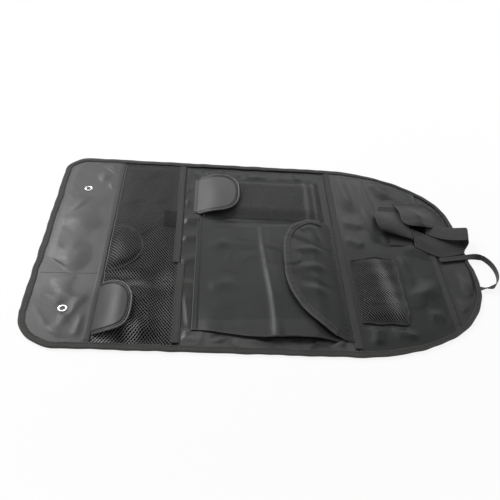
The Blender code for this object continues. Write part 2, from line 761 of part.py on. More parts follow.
def nose_mesh_height(x, y):
    side = min(NOSE_MESH_FAR_Y - y, y - NOSE_MESH_NEAR_Y)
    foot = x - NOSE_MESH_X
    return level(2, MESH_SHEET) + NOSE_MESH_RISE * smooth(side / POCKET_EASE) * smooth(foot / POCKET_EASE)


def make_nose_mesh():
    def point(u, v):
        x = NOSE_MESH_X + NOSE_MESH_DEPTH * u
        y = NOSE_MESH_NEAR_Y + (NOSE_MESH_FAR_Y - NOSE_MESH_NEAR_Y) * v
        return x, y, nose_mesh_height(x, y)

    sheet("nose_mesh_pocket", 4, 6, point, MESH_SHEET, MESH, MESH_STRAND)
    mouth = NOSE_MESH_X + NOSE_MESH_DEPTH
    cord = []
    for step in range(13):
        y = NOSE_MESH_NEAR_Y + (NOSE_MESH_FAR_Y - NOSE_MESH_NEAR_Y) * step / 12
        lift = ELASTIC_RADIUS - MESH_SHEET / 2 + PLAY / 4
        cord.append((mouth + ELASTIC_RADIUS + PLAY, y, nose_mesh_height(mouth, y) + max(0.0, lift)))
    tube("nose_mesh_elastic", cord, ELASTIC_RADIUS, PIPING)


# Straps

def make_hook_strap():
    """A wide strap sewn near the far side. It humps up, turns under itself and ends flat on the panel."""
    left = RIGHT - HOOK_STRAP_INSET
    flat = level(2, STRAP)
    path = ((0.00, 0.00), (0.14, 0.00), (0.24, 0.34), (0.35, 0.76), (0.49, 1.00), (0.64, 0.98),
            (0.74, 0.74), (0.75, 0.46), (0.65, 0.28), (0.54, 0.18), (0.52, 0.06), (0.59, 0.00),
            (0.79, 0.00), (1.00, 0.00))
    down = [row[0] * HOOK_STRAP_RUN for row in path]
    lift = [row[1] for row in path]

    def point(u, v):
        hump = between(lift, v)
        y = HOOK_STRAP_ROOT_Y - between(down, v) - HOOK_STRAP_TWIST * hump * u
        x = left + STRAP_WIDTH * u - HOOK_STRAP_TWIST * hump
        return x, y, flat + HOOK_STRAP_RISE * hump * (1 - 0.50 * u)

    sheet("hook_strap", 4, len(path) - 1, point, STRAP, WEBBING)


def make_cover_tab():
    """A broad tab sewn along its far side. Its near edge is free and stands over the hook strap.

    The near edge is rounded off towards its left end.
    """
    left = RIGHT - COVER_TAB_INSET
    flat = level(2)

    def point(u, v):
        x = left + COVER_TAB_LENGTH * u
        far = min(COVER_TAB_FAR_Y, nose_side(x + BINDING_WIDTH, FAR_NOSE_ROUND) - BINDING_WIDTH - TUCK)
        before = max(0.0, 1 - COVER_TAB_LENGTH * u / COVER_TAB_CORNER)
        near = COVER_TAB_NEAR_Y + COVER_TAB_CORNER_DEPTH * (1 - math.sqrt(1 - before ** 2))
        y = far + (near - far) * v
        lift = smooth(v / 0.75) * (1 - smooth((u - 0.30) / 0.70))
        return x, y, flat + COVER_TAB_RISE * lift

    sheet("cover_tab", 8, 8, point, SHEET, NYLON)


def make_loop_strap():
    """A wide strap sewn on the nose. It runs out past the edge, turns back over itself and ends free."""
    flat = level(1, STRAP)
    start = RIGHT - LOOP_STRAP_ROOT
    over = level(2, TAPE) + TAPE + PLAY + STRAP
    end = RIGHT + LOOP_STRAP_OVERHANG
    tall = LOOP_STRAP_HEIGHT
    inside = RIGHT - BINDING_WIDTH - LOOP_STRAP_HEIGHT
    path = ((start, level(2, STRAP), 0.05, 0.0), (start / 2 + NOSE_HEM_X / 2, level(2, STRAP), -0.27, 0.0),
            (NOSE_HEM_X + 2 * TUCK, level(2, STRAP), -0.60, 0.0), (inside, flat + 2 * STRAP, -0.44, 0.0),
            (RIGHT - BINDING_WIDTH + TUCK / 2, over, -0.36, 0.3), (end - 0.5 * tall, over + 0.5 * STRAP, -0.2, 0.7),
            (end - 0.1 * tall, over + 0.35 * tall, -0.1, 1.0), (end, over + 0.65 * tall, 0.0, 1.0),
            (end - 0.3 * tall, over + tall, 0.0, 1.0), (end - 1.1 * tall, over + 0.94 * tall, 0.0, 1.0),
            (end - 0.7 * LOOP_STRAP_BACK, over + 0.66 * tall, 0.0, 1.0),
            (end - LOOP_STRAP_BACK, over + 0.44 * tall, 0.0, 1.0))
    columns = [[row[k] for row in path] for k in range(4)]

    def point(u, v):
        x, z, shift, turned_over = (between(column, v) for column in columns)
        across = STRAP_WIDTH * (1 - LOOP_STRAP_NARROWING * turned_over) * (u - 0.5)
        y = LOOP_STRAP_Y + across + LOOP_STRAP_SKEW * shift
        return x + LOOP_STRAP_SLANT * across * turned_over, y, z

    sheet("loop_strap", 2, len(path) - 1, point, STRAP, WEBBING)


def make_hang_loop():
    """A narrow tape that loops out past the nose, lying flat at its ends and standing on edge outside."""
    over = BINDING_TOP + TAPE / 2 + PLAY + STRAP / 2
    out = RIGHT + HANG_LOOP_REACH
    far, near = HANG_LOOP_Y + HANG_LOOP_HALF, HANG_LOOP_Y - HANG_LOOP_HALF
    butt = RIGHT + TAPE + 2 * PLAY
    width = HANG_TAPE_WIDTH
    path = [(RIGHT - HANG_LOOP_ROOT, far - 0.37 * HANG_LOOP_HALF, over, 0.0),
            (RIGHT - 0.4 * HANG_LOOP_ROOT, far - 0.19 * HANG_LOOP_HALF, over, 0.0),
            (butt + 2 * STRAP, far - 0.11 * HANG_LOOP_HALF, over + 2 * STRAP, 0.25)]
    turn = butt + 0.7 * width
    for step in range(9):
        angle = math.pi * 0.36 * (1 - step / 4)
        path.append((turn + (out - turn) * math.cos(angle), HANG_LOOP_Y + HANG_LOOP_HALF * math.sin(angle),
                     0.5 * width + PLAY, 1.0))
    path.append((butt + 0.35 * width, near + 0.05 * width, 4.2 * STRAP, 0.5))
    path.append((butt - 0.25 * width, near + 0.05 * width, 2.2 * STRAP, 0.1))
    columns = [[row[k] for row in path] for k in range(4)]

    def point(u, v):
        x, y, z, stand = (between(column, v) for column in columns)
        lean = math.pi / 2 * stand
        ahead = [between(column, v + 0.02) - between(column, v - 0.02) for column in columns[:2]]
        along = Vector(ahead).normalized()
        reach = HANG_TAPE_WIDTH * (u - 0.5)
        return (x - along.y * reach * math.cos(lean), y + along.x * reach * math.cos(lean),
                z + reach * math.sin(lean))

    sheet("hang_loop", 1, 22, point, STRAP, WEBBING)


clear_scene()
PARTS = collection("seat_side_organizer")
CUTTERS = collection("cutters")
NYLON = finish("coated_nylon", (0.055, 0.056, 0.055), 0.42)
MESH = finish("mesh_fabric", (0.045, 0.045, 0.045), 0.70)
BINDING = finish("binding_tape", (0.060, 0.060, 0.058), 0.75)
PIPING = finish("piping", (0.070, 0.070, 0.068), 0.50)
WEBBING = finish("strap_webbing", (0.045, 0.044, 0.043), 0.70)
STEEL = finish("nickel_plated_steel", (0.80, 0.80, 0.80), 0.20, 1.0)

make_base_panel()
make_edge_binding()
make_top_panel()
make_eyelets()
make_bottle_mesh()
make_divider_tapes()
make_flaps()
make_glasses_pocket()
make_document_pocket()
make_document_flap()
make_nose_panel()
make_nose_mesh()
make_hook_strap()
make_cover_tab()
make_loop_strap()
make_hang_loop()
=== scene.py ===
"""Looks for the car seat side organizer: cloth panels, open nets, piped flaps, tapes and straps.

Every piece is a surface worked out over a grid as whole arrays, in the frame's metres. Each grid also keeps
where it lies on its own flat cloth, in metres, and its share of tint and painted light and shade there, for
the materials to read.
"""

import math

import bpy
import numpy as np
from mathutils import Matrix, Vector


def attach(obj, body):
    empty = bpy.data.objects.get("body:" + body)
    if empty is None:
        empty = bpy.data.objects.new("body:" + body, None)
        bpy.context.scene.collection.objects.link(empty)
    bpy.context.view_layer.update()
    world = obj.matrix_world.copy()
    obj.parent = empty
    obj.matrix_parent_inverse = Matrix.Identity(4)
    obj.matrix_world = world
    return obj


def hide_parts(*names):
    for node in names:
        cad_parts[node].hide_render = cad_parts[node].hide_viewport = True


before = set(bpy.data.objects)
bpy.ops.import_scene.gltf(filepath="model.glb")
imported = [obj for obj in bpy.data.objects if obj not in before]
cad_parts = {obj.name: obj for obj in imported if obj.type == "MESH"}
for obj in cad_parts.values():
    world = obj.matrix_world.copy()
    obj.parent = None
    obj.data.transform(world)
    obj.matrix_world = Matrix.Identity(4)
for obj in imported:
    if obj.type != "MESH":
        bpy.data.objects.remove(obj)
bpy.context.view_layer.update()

# The part's own places in metres: x from the square end to the nose, y from the near side to the far one

SHEET = 0.0008
TAPE = 0.0006
STRAP = 0.0010
NET_THICK = 0.00045
FLAP_THICK = 0.0009
PLAY = 0.00035
HALF = 0.200
LENGTH = 0.633
LEFT = -0.33124
RIGHT = LEFT + LENGTH
NOSE_LENGTH = 0.196
NOSE_X = RIGHT - NOSE_LENGTH
NOSE_POWER = 1.7
NOSE_ROUND = (0.30, 0.33)
CORNERS = (0.056, 0.038)
LIFT = 0.00135
HEM_X = LEFT + 0.095
TAPE_1_X = HEM_X + 0.100
POCKET_X = TAPE_1_X + 0.024
MOUTH_X = POCKET_X + 0.198
TAPE_2_X = MOUTH_X + 0.017
NOSE_HEM_X = RIGHT - 0.054
NOSE_NET_X = TAPE_2_X + 0.011
BINDING = 0.010
EDGE_STEP = 0.0013
UNDER_BINDING = 0.0108
TAPE_BEND = 0.00072
TAPE_WIDTH = 0.0095
STRAP_WIDTH = 0.038
BOTTLE_SEAM_Y = -0.080
SPLIT_Y = 0.061
GLASSES_SEAM_Y = 0.162
FOLD_Y = -0.178
BOTTLE_FLAP_Y, BOTTLE_FLAP_HALF, BOTTLE_FLAP_REACH = -0.136, 0.042, 0.044
TUCKED_FLAP_Y, TUCKED_FLAP_HALF, TUCKED_FLAP_REACH = -0.019, 0.044, 0.046
GLASSES_FLAP_Y, GLASSES_FLAP_HALF, GLASSES_FLAP_REACH = 0.113, 0.044, 0.062
NEAR_BAY_Y = -0.085
EYELETS = (("far", LEFT + 0.0445, 0.117), ("near", LEFT + 0.053, -0.138))
ON_SHEET = SHEET / 2 + 0.0001


# Shaping helpers

def smooth(t):
    """Eases from 0 to 1 while t goes from 0 to 1: three times its square less twice its cube."""
    t = np.clip(t, 0.0, 1.0)
    return t * t * (3 - 2 * t)


def bell(t):
    """A rounded peak of height 1 at 0: e to the power of less the square of t."""
    return np.exp(-(t ** 2))


def hill(x, y, centre_x, centre_y, reach_x, reach_y):
    """A round hill of height 1: the square of one less the squared distance in reaches."""
    return np.clip(1 - ((x - centre_x) / reach_x) ** 2 - ((y - centre_y) / reach_y) ** 2, 0, None) ** 2


def fold(x, y, start, end, reach):
    """A rounded ridge of height 1: a bell across the line from start to end, eased off at both its ends."""
    (ax, ay), (bx, by) = start, end
    run = math.hypot(bx - ax, by - ay)
    ahead = ((x - ax) * (bx - ax) + (y - ay) * (by - ay)) / run
    away = ((x - ax) * (by - ay) - (y - ay) * (bx - ax)) / run
    return bell(away / reach) * smooth(ahead / (0.35 * run)) * smooth((run - ahead) / (0.35 * run))


def crumple(x, y, size, seed):
    """Soft uneven waves about this long: sines in seeded directions, each bent by the sum of those before."""
    draw = np.random.default_rng(seed)
    total = np.zeros_like(x)
    for turn, stretch, phase in draw.uniform((0, 0.7, 0), (math.pi, 1.7, 2 * math.pi), (6, 3)):
        ahead = (x * math.cos(turn) + y * math.sin(turn)) / (size * stretch)
        total = total + np.sin(2 * math.pi * ahead + phase + 1.1 * total)
    return total / 4


def raised(z):
    """Keeps z above 0 with a soft turn: half the sum of z and the root of its square plus ease's square."""
    ease = 0.0004
    return 0.5 * (z + np.sqrt(z * z + ease * ease))


def folds(x, y, rows):
    """The sum of several folds, each row being its height, start, end and reach."""
    return sum(tall * fold(x, y, start, end, reach) for tall, start, end, reach in rows)


def level(sheets_below, thickness=SHEET):
    """Height of a cloth's middle: the floor's clearance, the sheets below with play, and half its own."""
    return LIFT + sheets_below * (SHEET + PLAY) + thickness / 2


def half_width(x, y):
    """From the middle line to the edge: straight sides, then a power of one less a power along the nose."""
    share = np.clip((x - NOSE_X) / NOSE_LENGTH, 0.0, 1.0)
    return HALF * (1 - share ** NOSE_POWER) ** np.where(y > 0, NOSE_ROUND[1], NOSE_ROUND[0])


def tip_dent(x, y):
    """How far the nose's tip is drawn in: a squared bump across the tip, eased in over its last 30 mm."""
    across = np.clip(1 - ((y - 0.025) / 0.095) ** 2, 0, None) ** 2
    return 0.0078 * across * smooth((x - RIGHT + 0.040) / 0.030)


def side_y(x, far):
    """Y of the panel's near or far edge at x, round corners included."""
    corner = CORNERS[int(far)]
    into = np.clip(LEFT + corner - x, 0.0, corner)
    y = half_width(x, 2 * far - 1) - corner + np.sqrt(np.clip(corner ** 2 - into ** 2, 0.0, None))
    return y if far else -y


def inset(x, y):
    """Distance in from the edge: the way across, over the root of one plus the edge's slope squared."""
    corner = np.where(y > 0, CORNERS[1], CORNERS[0])
    slope = (half_width(x + 0.001, y) - half_width(x - 0.001, y)) / 0.002
    across = (half_width(x + tip_dent(x, y), y) - np.abs(y)) / np.sqrt(1 + slope ** 2)
    in_x, in_y = LEFT + corner - x, np.abs(y) - (HALF - corner)
    rounded = corner - np.hypot(np.clip(in_x, 0, None), np.clip(in_y, 0, None))
    return np.where((in_x > 0) & (in_y > 0), rounded, np.minimum(across, x - LEFT))


def through(values, t):
    """A smooth line through the values: cubics whose slope at each value is that of its neighbours."""
    values = np.asarray(values, float)
    padded = np.concatenate(([2 * values[0] - values[1]], values, [2 * values[-1] - values[-2]]))
    place = np.clip(t, 0.0, 1.0) * (len(values) - 1)
    first = np.minimum(place.astype(int), len(values) - 2)
    s = place - first
    a, b, c, d = (padded[first + k] for k in range(4))
    squared, cubed = 2 * a - 5 * b + 4 * c - d, 3 * b - a - 3 * c + d
    return 0.5 * (2 * b + (c - a) * s + squared * s ** 2 + cubed * s ** 3)


def grid(columns, rows):
    """u and v from 0 to 1 over a grid, as two arrays with a row for each v."""
    return np.meshgrid(np.linspace(0, 1, columns + 1), np.linspace(0, 1, rows + 1))


def over(x, y, height, above=0.0):
    """Places at x and y on a cloth whose height there is height(x, y), and this much above it."""
    x, y = np.broadcast_arrays(x, y)
    return np.stack((x, y, height(x, y) + above), axis=-1)


def spaced(points, step):
    """The path again with points this far apart, measured along it."""
    run = np.concatenate(([0.0], np.cumsum(np.linalg.norm(np.diff(points, axis=0), axis=1))))
    at = np.linspace(0, run[-1], max(2, int(round(run[-1] / step))) + 1)
    return np.stack([np.interp(at, run, points[:, k]) for k in range(points.shape[1])], axis=1)


# Putting surfaces in

def put_in(name, corners, faces, cloth, material, nodes, thickness=0.0):
    """Makes one piece from corner places and faces of three or four corners."""
    data = bpy.data.meshes.new(name)
    data.from_pydata(corners.tolist(), [], faces)
    kept = data.attributes.new("cloth", "FLOAT_VECTOR", "POINT")
    kept.data.foreach_set("vector", cloth.astype(np.float32).ravel())
    data.shade_smooth()
    data.materials.append(material)
    piece = bpy.data.objects.new(name, data)
    bpy.context.scene.collection.objects.link(piece)
    if thickness:
        shell = piece.modifiers.new("thickness", "SOLIDIFY")
        shell.thickness, shell.offset = thickness, 0.0
    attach(piece, "root")
    if nodes:
        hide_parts(*nodes)
    return piece


def surface(name, places, cloth, material, nodes=(), thickness=0.0, ring=False, loop=False,
            flip=False):
    """A piece from a grid of places. ring joins its last column to its first, and loop its last row.

    Corners that meet at a pole are merged, and the faces there have three corners.
    """
    rows, columns = places.shape[:2]
    across = np.arange(columns if ring else columns - 1)
    along = np.arange(rows if loop else rows - 1)[:, None]
    a = along * columns + across
    b = along * columns + (across + 1) % columns
    c = (along + 1) % rows * columns + (across + 1) % columns
    d = (along + 1) % rows * columns + across
    quads = np.stack((a, b, c, d) if not flip else (d, c, b, a), axis=-1).reshape(-1, 4)
    return welded(name, places.reshape(-1, 3), quads, cloth.reshape(-1, 3), material, nodes,
                  thickness)


def welded(name, corners, quads, cloth, material, nodes, thickness):
    """Merges corners within 2 thousandths of a millimetre, and keeps faces that still have three or four."""
    rounded = np.round(corners / 2e-6).astype(np.int64)
    _, first, where = np.unique(rounded, axis=0, return_index=True, return_inverse=True)
    quads = where.ravel()[quads]
    following = np.roll(quads, -1, axis=1)
    lost = quads == following
    whole = quads[~lost.any(axis=1)]
    single = lost.sum(axis=1) == 1
    three = quads[single][~lost[single]].reshape(-1, 3)
    faces = whole.tolist() + three.tolist()
    return put_in(name, corners[first], faces, cloth[first], material, nodes, thickness)


def flat_cloth(x, y, tint_and_painted_light=0.0):
    """Where each place lies on its flat cloth, with its share of tint and painted light and shade, kept
    together as one array.
    """
    return np.stack((x, y, np.broadcast_to(tint_and_painted_light, x.shape)), axis=-1)


def carried(path, section, sideways, up, shrink=1.0):
    """Carries a section of (sideways, up) offsets along a path as places: path + sideways * s + up * h."""
    shrink = np.broadcast_to(shrink, (len(path),))[:, None, None]
    return (path[:, None] + sideways[:, None] * section[None, :, :1] * shrink
            + up[:, None] * section[None, :, 1:] * shrink)


def directions(path, closed=False):
    """Unit directions along a path: the step from the point before to the point after, over its length."""
    if closed:
        step = np.roll(path, -1, axis=0) - np.roll(path, 1, axis=0)
    else:
        step = np.gradient(path, axis=0)
    return step / np.linalg.norm(step, axis=1)[:, None]


def sides_of(along):
    """Unit directions to the left, (-y, x, 0) over its length, and the cross products with the ones given."""
    left = np.stack((-along[:, 1], along[:, 0], np.zeros(len(along))), axis=1)
    left /= np.linalg.norm(left, axis=1)[:, None]
    return left, np.cross(along, left)


def round_cord(name, path, radius, material, nodes=(), sides=14, twist=0.0):
    """A circle carried along the path and closed to a point at each end. twist ribs it with a wrap."""
    along = directions(path)
    left, up = sides_of(along)
    turn = np.linspace(0, 2 * math.pi, sides, endpoint=False)
    run = np.concatenate(([0.0], np.cumsum(np.linalg.norm(np.diff(path, axis=0), axis=1))))
    closing = np.sqrt(np.clip(np.minimum(run, run[-1] - run) / radius, 0, 1))
    ribs = 1 + 0.05 * np.sin(run / 0.0009) if twist else np.ones_like(run)
    circle = np.stack((np.cos(turn), np.sin(turn)), axis=1) * radius
    places = carried(path, circle, left, up, closing * ribs)
    cloth = flat_cloth(run[:, None] + 0 * turn, (turn * radius)[None, :] + 0 * run[:, None], twist)
    return surface(name, places, cloth, material, nodes, ring=True)


def stitches(name, paths, material, pitch=0.0034, length=0.0024, radius=0.00028):
    """Rows of short stitches: five-sided bars that arch over the cloth and dip into it at both ends."""
    found, heads = [], []
    for path in paths:
        points = spaced(path, pitch)
        found.append(points)
        heads.append(directions(points))
    places, along = np.concatenate(found), np.concatenate(heads)
    left, up = sides_of(along)
    sides = 5
    turn = np.linspace(0, 2 * math.pi, sides, endpoint=False)
    run = np.array((-0.5, -0.38, 0.0, 0.38, 0.5))
    thick = np.array((0.0, 0.8, 1.0, 0.8, 0.0))
    arch = np.array((-1.0, 0.1, 0.7, 0.1, -1.0)) * radius
    ahead = np.broadcast_to((run * length)[:, None], (len(run), sides))
    wide = thick[:, None] * np.cos(turn) * radius
    tall = thick[:, None] * np.sin(turn) * radius + arch[:, None]
    bars = (places[:, None, None] + along[:, None, None] * ahead[None, ..., None]
            + left[:, None, None] * wide[None, ..., None] + up[:, None, None] * tall[None, ..., None])
    rows, columns = np.meshgrid(np.arange(len(run) - 1), np.arange(sides), indexing="ij")
    a, b = rows * sides + columns, rows * sides + (columns + 1) % sides
    one = np.stack((a, b, b + sides, a + sides), axis=-1).reshape(-1, 4)
    quads = (one[None] + len(run) * sides * np.arange(len(places))[:, None, None]).reshape(-1, 4)
    corners = bars.reshape(-1, 3)
    cloth = np.zeros_like(corners)
    return welded(name, corners, quads, cloth, material, (), 0.0)


def net(name, wide, long, place, nodes, half_x=0.0021, half_y=0.0028, heavy=0.32, light=0.11, bright=None,
        turned=None):
    """A knitted net: diamond rings side by side on a flat wide x long piece, carried to place(x, y).

    A diamond's corners are sums of half of (half_x, half_y) and of (half_x, -half_y), each taken plus or
    minus, and its hole is the same diamond with the first share cut by heavy and the second by light. Where
    turned(x, y) is 1 the cuts change places. bright(x, y) is how pale the yarn is painted there, from 0 to 1,
    mostly as painted highlights.
    """
    columns, rows = int(wide / half_x) + 2, int(long / half_y) + 2
    i, j = np.meshgrid(np.arange(columns), np.arange(rows))
    kept = (i + j) % 2 == 0
    centre = np.stack((i[kept] * half_x, j[kept] * half_y), axis=-1)[:, None]
    first, second = np.array((1, 1, -1, -1)) / 2, np.array((1, -1, -1, 1)) / 2
    sides = np.array((half_x, half_y)), np.array((half_x, -half_y))
    outer = centre + first[:, None] * sides[0] + second[:, None] * sides[1]
    swap = turned(centre[..., :1], centre[..., 1:]) if turned else 0 * centre[..., :1]
    cut_first, cut_second = heavy + (light - heavy) * swap, light + (heavy - light) * swap
    inner = (centre + (1 - cut_first) * first[:, None] * sides[0]
             + (1 - cut_second) * second[:, None] * sides[1])
    both = np.concatenate((outer, inner), axis=1).reshape(-1, 2)
    both = np.clip(both, 0, np.array((wide, long)))
    both = np.where(both < 0.0004, 0.0, both)
    k = np.arange(4)
    one = np.stack((k, (k + 1) % 4, (k + 1) % 4 + 4, k + 4), axis=-1)
    quads = (one[None] + 8 * np.arange(len(centre))[:, None, None]).reshape(-1, 4)
    quads = quads[np.ptp(both[quads], axis=1).min(axis=1) > 1e-5]
    corners = place(both[:, 0], both[:, 1])
    pale = bright(corners[:, 0], corners[:, 1]) if bright else 0.0
    cloth = flat_cloth(both[:, 0], both[:, 1], pale)
    return welded(name, corners, quads, cloth, NET, nodes, NET_THICK)


# Materials

def feed(tree, inputs, feeds):
    """Gives each input its number or colour, or links another node's socket to it."""
    for key, value in feeds.items():
        if isinstance(value, bpy.types.NodeSocket):
            tree.links.new(value, inputs[key])
        else:
            inputs[key].default_value = value


def node(tree, kind, feeds=None, **settings):
    """Makes a shader node with these settings, feeds its inputs, and gives its outputs."""
    made = tree.nodes.new(kind)
    for key, value in settings.items():
        setattr(made, key, value)
    feed(tree, made.inputs, feeds or {})
    return made.outputs


def maths(tree, operation, first, second):
    """A sum that the shader works out from two sockets or numbers, kept from 0 to 1."""
    return node(tree, "ShaderNodeMath", {0: first, 1: second}, operation=operation, use_clamp=True)[0]


def mapped(tree, value, ends, onto=(0.0, 1.0), kind="LINEAR"):
    """A socket's value between two ends, turned into its place between the second two."""
    feeds = {"Value": value, "From Min": ends[0], "From Max": ends[1], "To Min": onto[0], "To Max": onto[1]}
    return node(tree, "ShaderNodeMapRange", feeds, interpolation_type=kind)["Result"]


def noise(tree, place, scale, detail=2.0, rough=0.5):
    """Uneven patches from 0 to 1, with this many to a metre."""
    feeds = {"Vector": place, "Scale": scale, "Detail": detail, "Roughness": rough}
    return node(tree, "ShaderNodeTexNoise", feeds)["Fac"]


def blended(tree, share, first, second):
    """A colour between two colours or sockets, by the share."""
    feeds = {"Factor": share, "A": first, "B": second}
    return node(tree, "ShaderNodeMix", feeds, data_type="RGBA")["Result"]


def new_material(name):
    """A new material, the tree of its nodes and the inputs of its shader."""
    material = bpy.data.materials.new(name)
    material.use_nodes = True
    return material, material.node_tree, material.node_tree.nodes["Principled BSDF"].inputs


def cloth_finish(name, colour, shade, rough, threads, depth, sheen, patch, shine, tint_and_painted_light_colour=None):
    """A woven or knitted finish. Its threads are two sets of fine waves over the flat cloth, given in
    radians a metre, and its colour drifts between two shades in uneven patches.

    Above 0 the kept share turns it towards tint_and_painted_light_colour, up to 1: paler tape and strap
    edges, and painted highlights.
    Below 0 it is painted shade, as under a net or on a darkened flap, and both colour and shine are then less
    by that share.
    """
    material, tree, shader = new_material(name)
    kept = node(tree, "ShaderNodeAttribute", attribute_name="cloth")["Vector"]
    tint_and_painted_light_share = node(tree, "ShaderNodeSeparateXYZ", {0: kept})["Z"]
    place = node(tree, "ShaderNodeTexCoord")["Object"]
    spread = mapped(tree, noise(tree, place, 1 / patch, 4.0, 0.6), (0.35, 0.68))
    tone = blended(tree, spread, (*colour, 1.0), (*shade, 1.0))
    if tint_and_painted_light_colour is not None:
        tone = blended(tree, tint_and_painted_light_share, tone, (*tint_and_painted_light_colour, 1.0))
    lit = mapped(tree, tint_and_painted_light_share, (-1.0, 0.0))
    tone = node(tree, "ShaderNodeVectorMath", {0: tone, "Scale": lit}, operation="SCALE")["Vector"]
    grain = noise(tree, place, 260.0, 3.0)
    gloss = mapped(tree, grain, (0.0, 1.0), (rough - 0.07, rough + 0.07))
    waves = []
    for direction, count in zip(("X", "Y"), threads):
        if count:
            feeds = {"Vector": kept, "Scale": count / 20, "Distortion": 0.4, "Detail": 1.0}
            waves.append(node(tree, "ShaderNodeTexWave", feeds, bands_direction=direction)["Fac"])
    height = waves[0] if waves else grain
    if len(waves) == 2:
        height = maths(tree, "MULTIPLY", *waves)
    bump = node(tree, "ShaderNodeBump", {"Height": height, "Strength": 1.0, "Distance": depth})["Normal"]
    feed(tree, shader, {"Base Color": tone, "Specular IOR Level": maths(tree, "MULTIPLY", lit, shine),
                        "Roughness": gloss, "Normal": bump, "Sheen Weight": sheen, "Sheen Roughness": 0.5})
    return material


def plated(name):
    """Nickel plate: bright metal with faint polishing marks."""
    material, tree, shader = new_material(name)
    place = node(tree, "ShaderNodeTexCoord")["Object"]
    rough = mapped(tree, noise(tree, place, 900.0), (0.0, 1.0), (0.16, 0.36))
    feed(tree, shader, {"Base Color": (0.86, 0.86, 0.85, 1.0), "Metallic": 1.0, "Roughness": rough})
    return material


LIGHT_NYLON = cloth_finish("panel_nylon", (0.061, 0.062, 0.061), (0.050, 0.050, 0.050), rough=0.46,
                           threads=(2400, 2400), depth=0.00004, sheen=0.06, patch=0.05, shine=0.45,
                           tint_and_painted_light_colour=(0.020, 0.020, 0.020))
# Its pale tint colour gives the painted highlights on the near strip's crinkles and on the nose cloth, and
# the paler edges of the document pocket.
DARK_NYLON = cloth_finish("pocket_nylon", (0.019, 0.020, 0.020), (0.014, 0.015, 0.015), rough=0.38,
                          threads=(2400, 2400), depth=0.00004, sheen=0.02, patch=0.06, shine=0.29,
                          tint_and_painted_light_colour=(0.060, 0.060, 0.060))
# Its pale tint colour gives the painted highlights on the yarn.
NET = cloth_finish("knitted_net", (0.060, 0.061, 0.061), (0.046, 0.047, 0.047), rough=0.60,
                   threads=(3000, 0), depth=0.00004, sheen=0.05, patch=0.04, shine=0.3,
                   tint_and_painted_light_colour=(0.30, 0.30, 0.30))
TAPE_CLOTH = cloth_finish("binding_tape", (0.034, 0.035, 0.032), (0.026, 0.027, 0.025), rough=0.72,
                          threads=(1400, 1400), depth=0.00008, sheen=0.1, patch=0.04, shine=0.35,
                          tint_and_painted_light_colour=(0.070, 0.071, 0.066))
CORD = cloth_finish("piping_cord", (0.095, 0.095, 0.093), (0.070, 0.070, 0.069), rough=0.45,
                    threads=(1800, 1800), depth=0.00006, sheen=0.1, patch=0.03, shine=0.5)
WEBBING = cloth_finish("strap_webbing", (0.029, 0.028, 0.028), (0.022, 0.022, 0.022), rough=0.66,
                       threads=(1100, 900), depth=0.00012, sheen=0.1, patch=0.04, shine=0.35,
                       tint_and_painted_light_colour=(0.06, 0.06, 0.06))
TAB_CLOTH = cloth_finish("tab_nylon", (0.026, 0.025, 0.025), (0.020, 0.019, 0.019), rough=0.55,
                         threads=(2400, 2400), depth=0.00005, sheen=0.04, patch=0.05, shine=0.34,
                         tint_and_painted_light_colour=(0.07, 0.07, 0.07))
THREAD = cloth_finish("sewing_thread", (0.022, 0.022, 0.022), (0.015, 0.015, 0.015), rough=0.55,
                      threads=(0, 0), depth=0.00002, sheen=0.1, patch=0.02, shine=0.4)
STEEL = plated("nickel_plate")


# Panel, its binding and the plain top panel. Each fold is its height, its start, its end and its reach.

STRIP_FOLDS = (
    (0.0016, (-0.170, 0.136), (-0.080, 0.124), 0.0085),
    (0.0015, (-0.170, 0.108), (-0.080, 0.090), 0.0080),
    (0.0026, (-0.170, 0.046), (-0.080, 0.060), 0.0110),
    (0.0022, (-0.170, 0.000), (-0.080, 0.024), 0.0095),
    (0.0020, (-0.170, -0.050), (-0.080, -0.026), 0.0085),
    (0.0015, (-0.160, -0.076), (-0.080, -0.094), 0.0080),
    (0.0018, (-0.124, -0.090), (-0.112, -0.178), 0.0040))
NEAR_SIDE_FOLDS = (
    (0.0030, (-0.122, -0.176), (-0.096, -0.192), 0.0035),
    (0.0030, (-0.092, -0.190), (-0.066, -0.178), 0.0035),
    (0.0024, (-0.040, -0.178), (-0.004, -0.190), 0.0035),
    (0.0030, (0.030, -0.190), (0.058, -0.178), 0.0035),
    (0.0030, (0.064, -0.190), (0.088, -0.176), 0.0035))
TOP_PANEL_FOLDS = (
    (0.0022, (-0.324, 0.040), (-0.238, 0.030), 0.016),
    (0.0020, (-0.318, 0.092), (-0.238, 0.088), 0.022),
    (0.0012, (-0.277, 0.002), (-0.310, -0.072), 0.0085),
    (0.0011, (-0.318, -0.002), (-0.280, -0.070), 0.0080),
    (-0.0010, (-0.300, -0.024), (-0.296, -0.070), 0.0070),
    (0.0020, (-0.248, -0.100), (-0.286, -0.176), 0.0080),
    (0.0022, (-0.324, -0.120), (-0.284, -0.184), 0.0080),
    (0.0014, (-0.250, -0.140), (-0.256, -0.190), 0.0060),
    (0.0012, (-0.304, -0.112), (-0.246, -0.120), 0.0080),
    (0.0012, (-0.270, 0.180), (-0.262, 0.110), 0.0120))


def near_fold(x):
    """Y of the document pocket's near fold: straight at its right, and further in at its left."""
    return FOLD_Y + 0.011 * smooth((-0.010 - x) / 0.10)


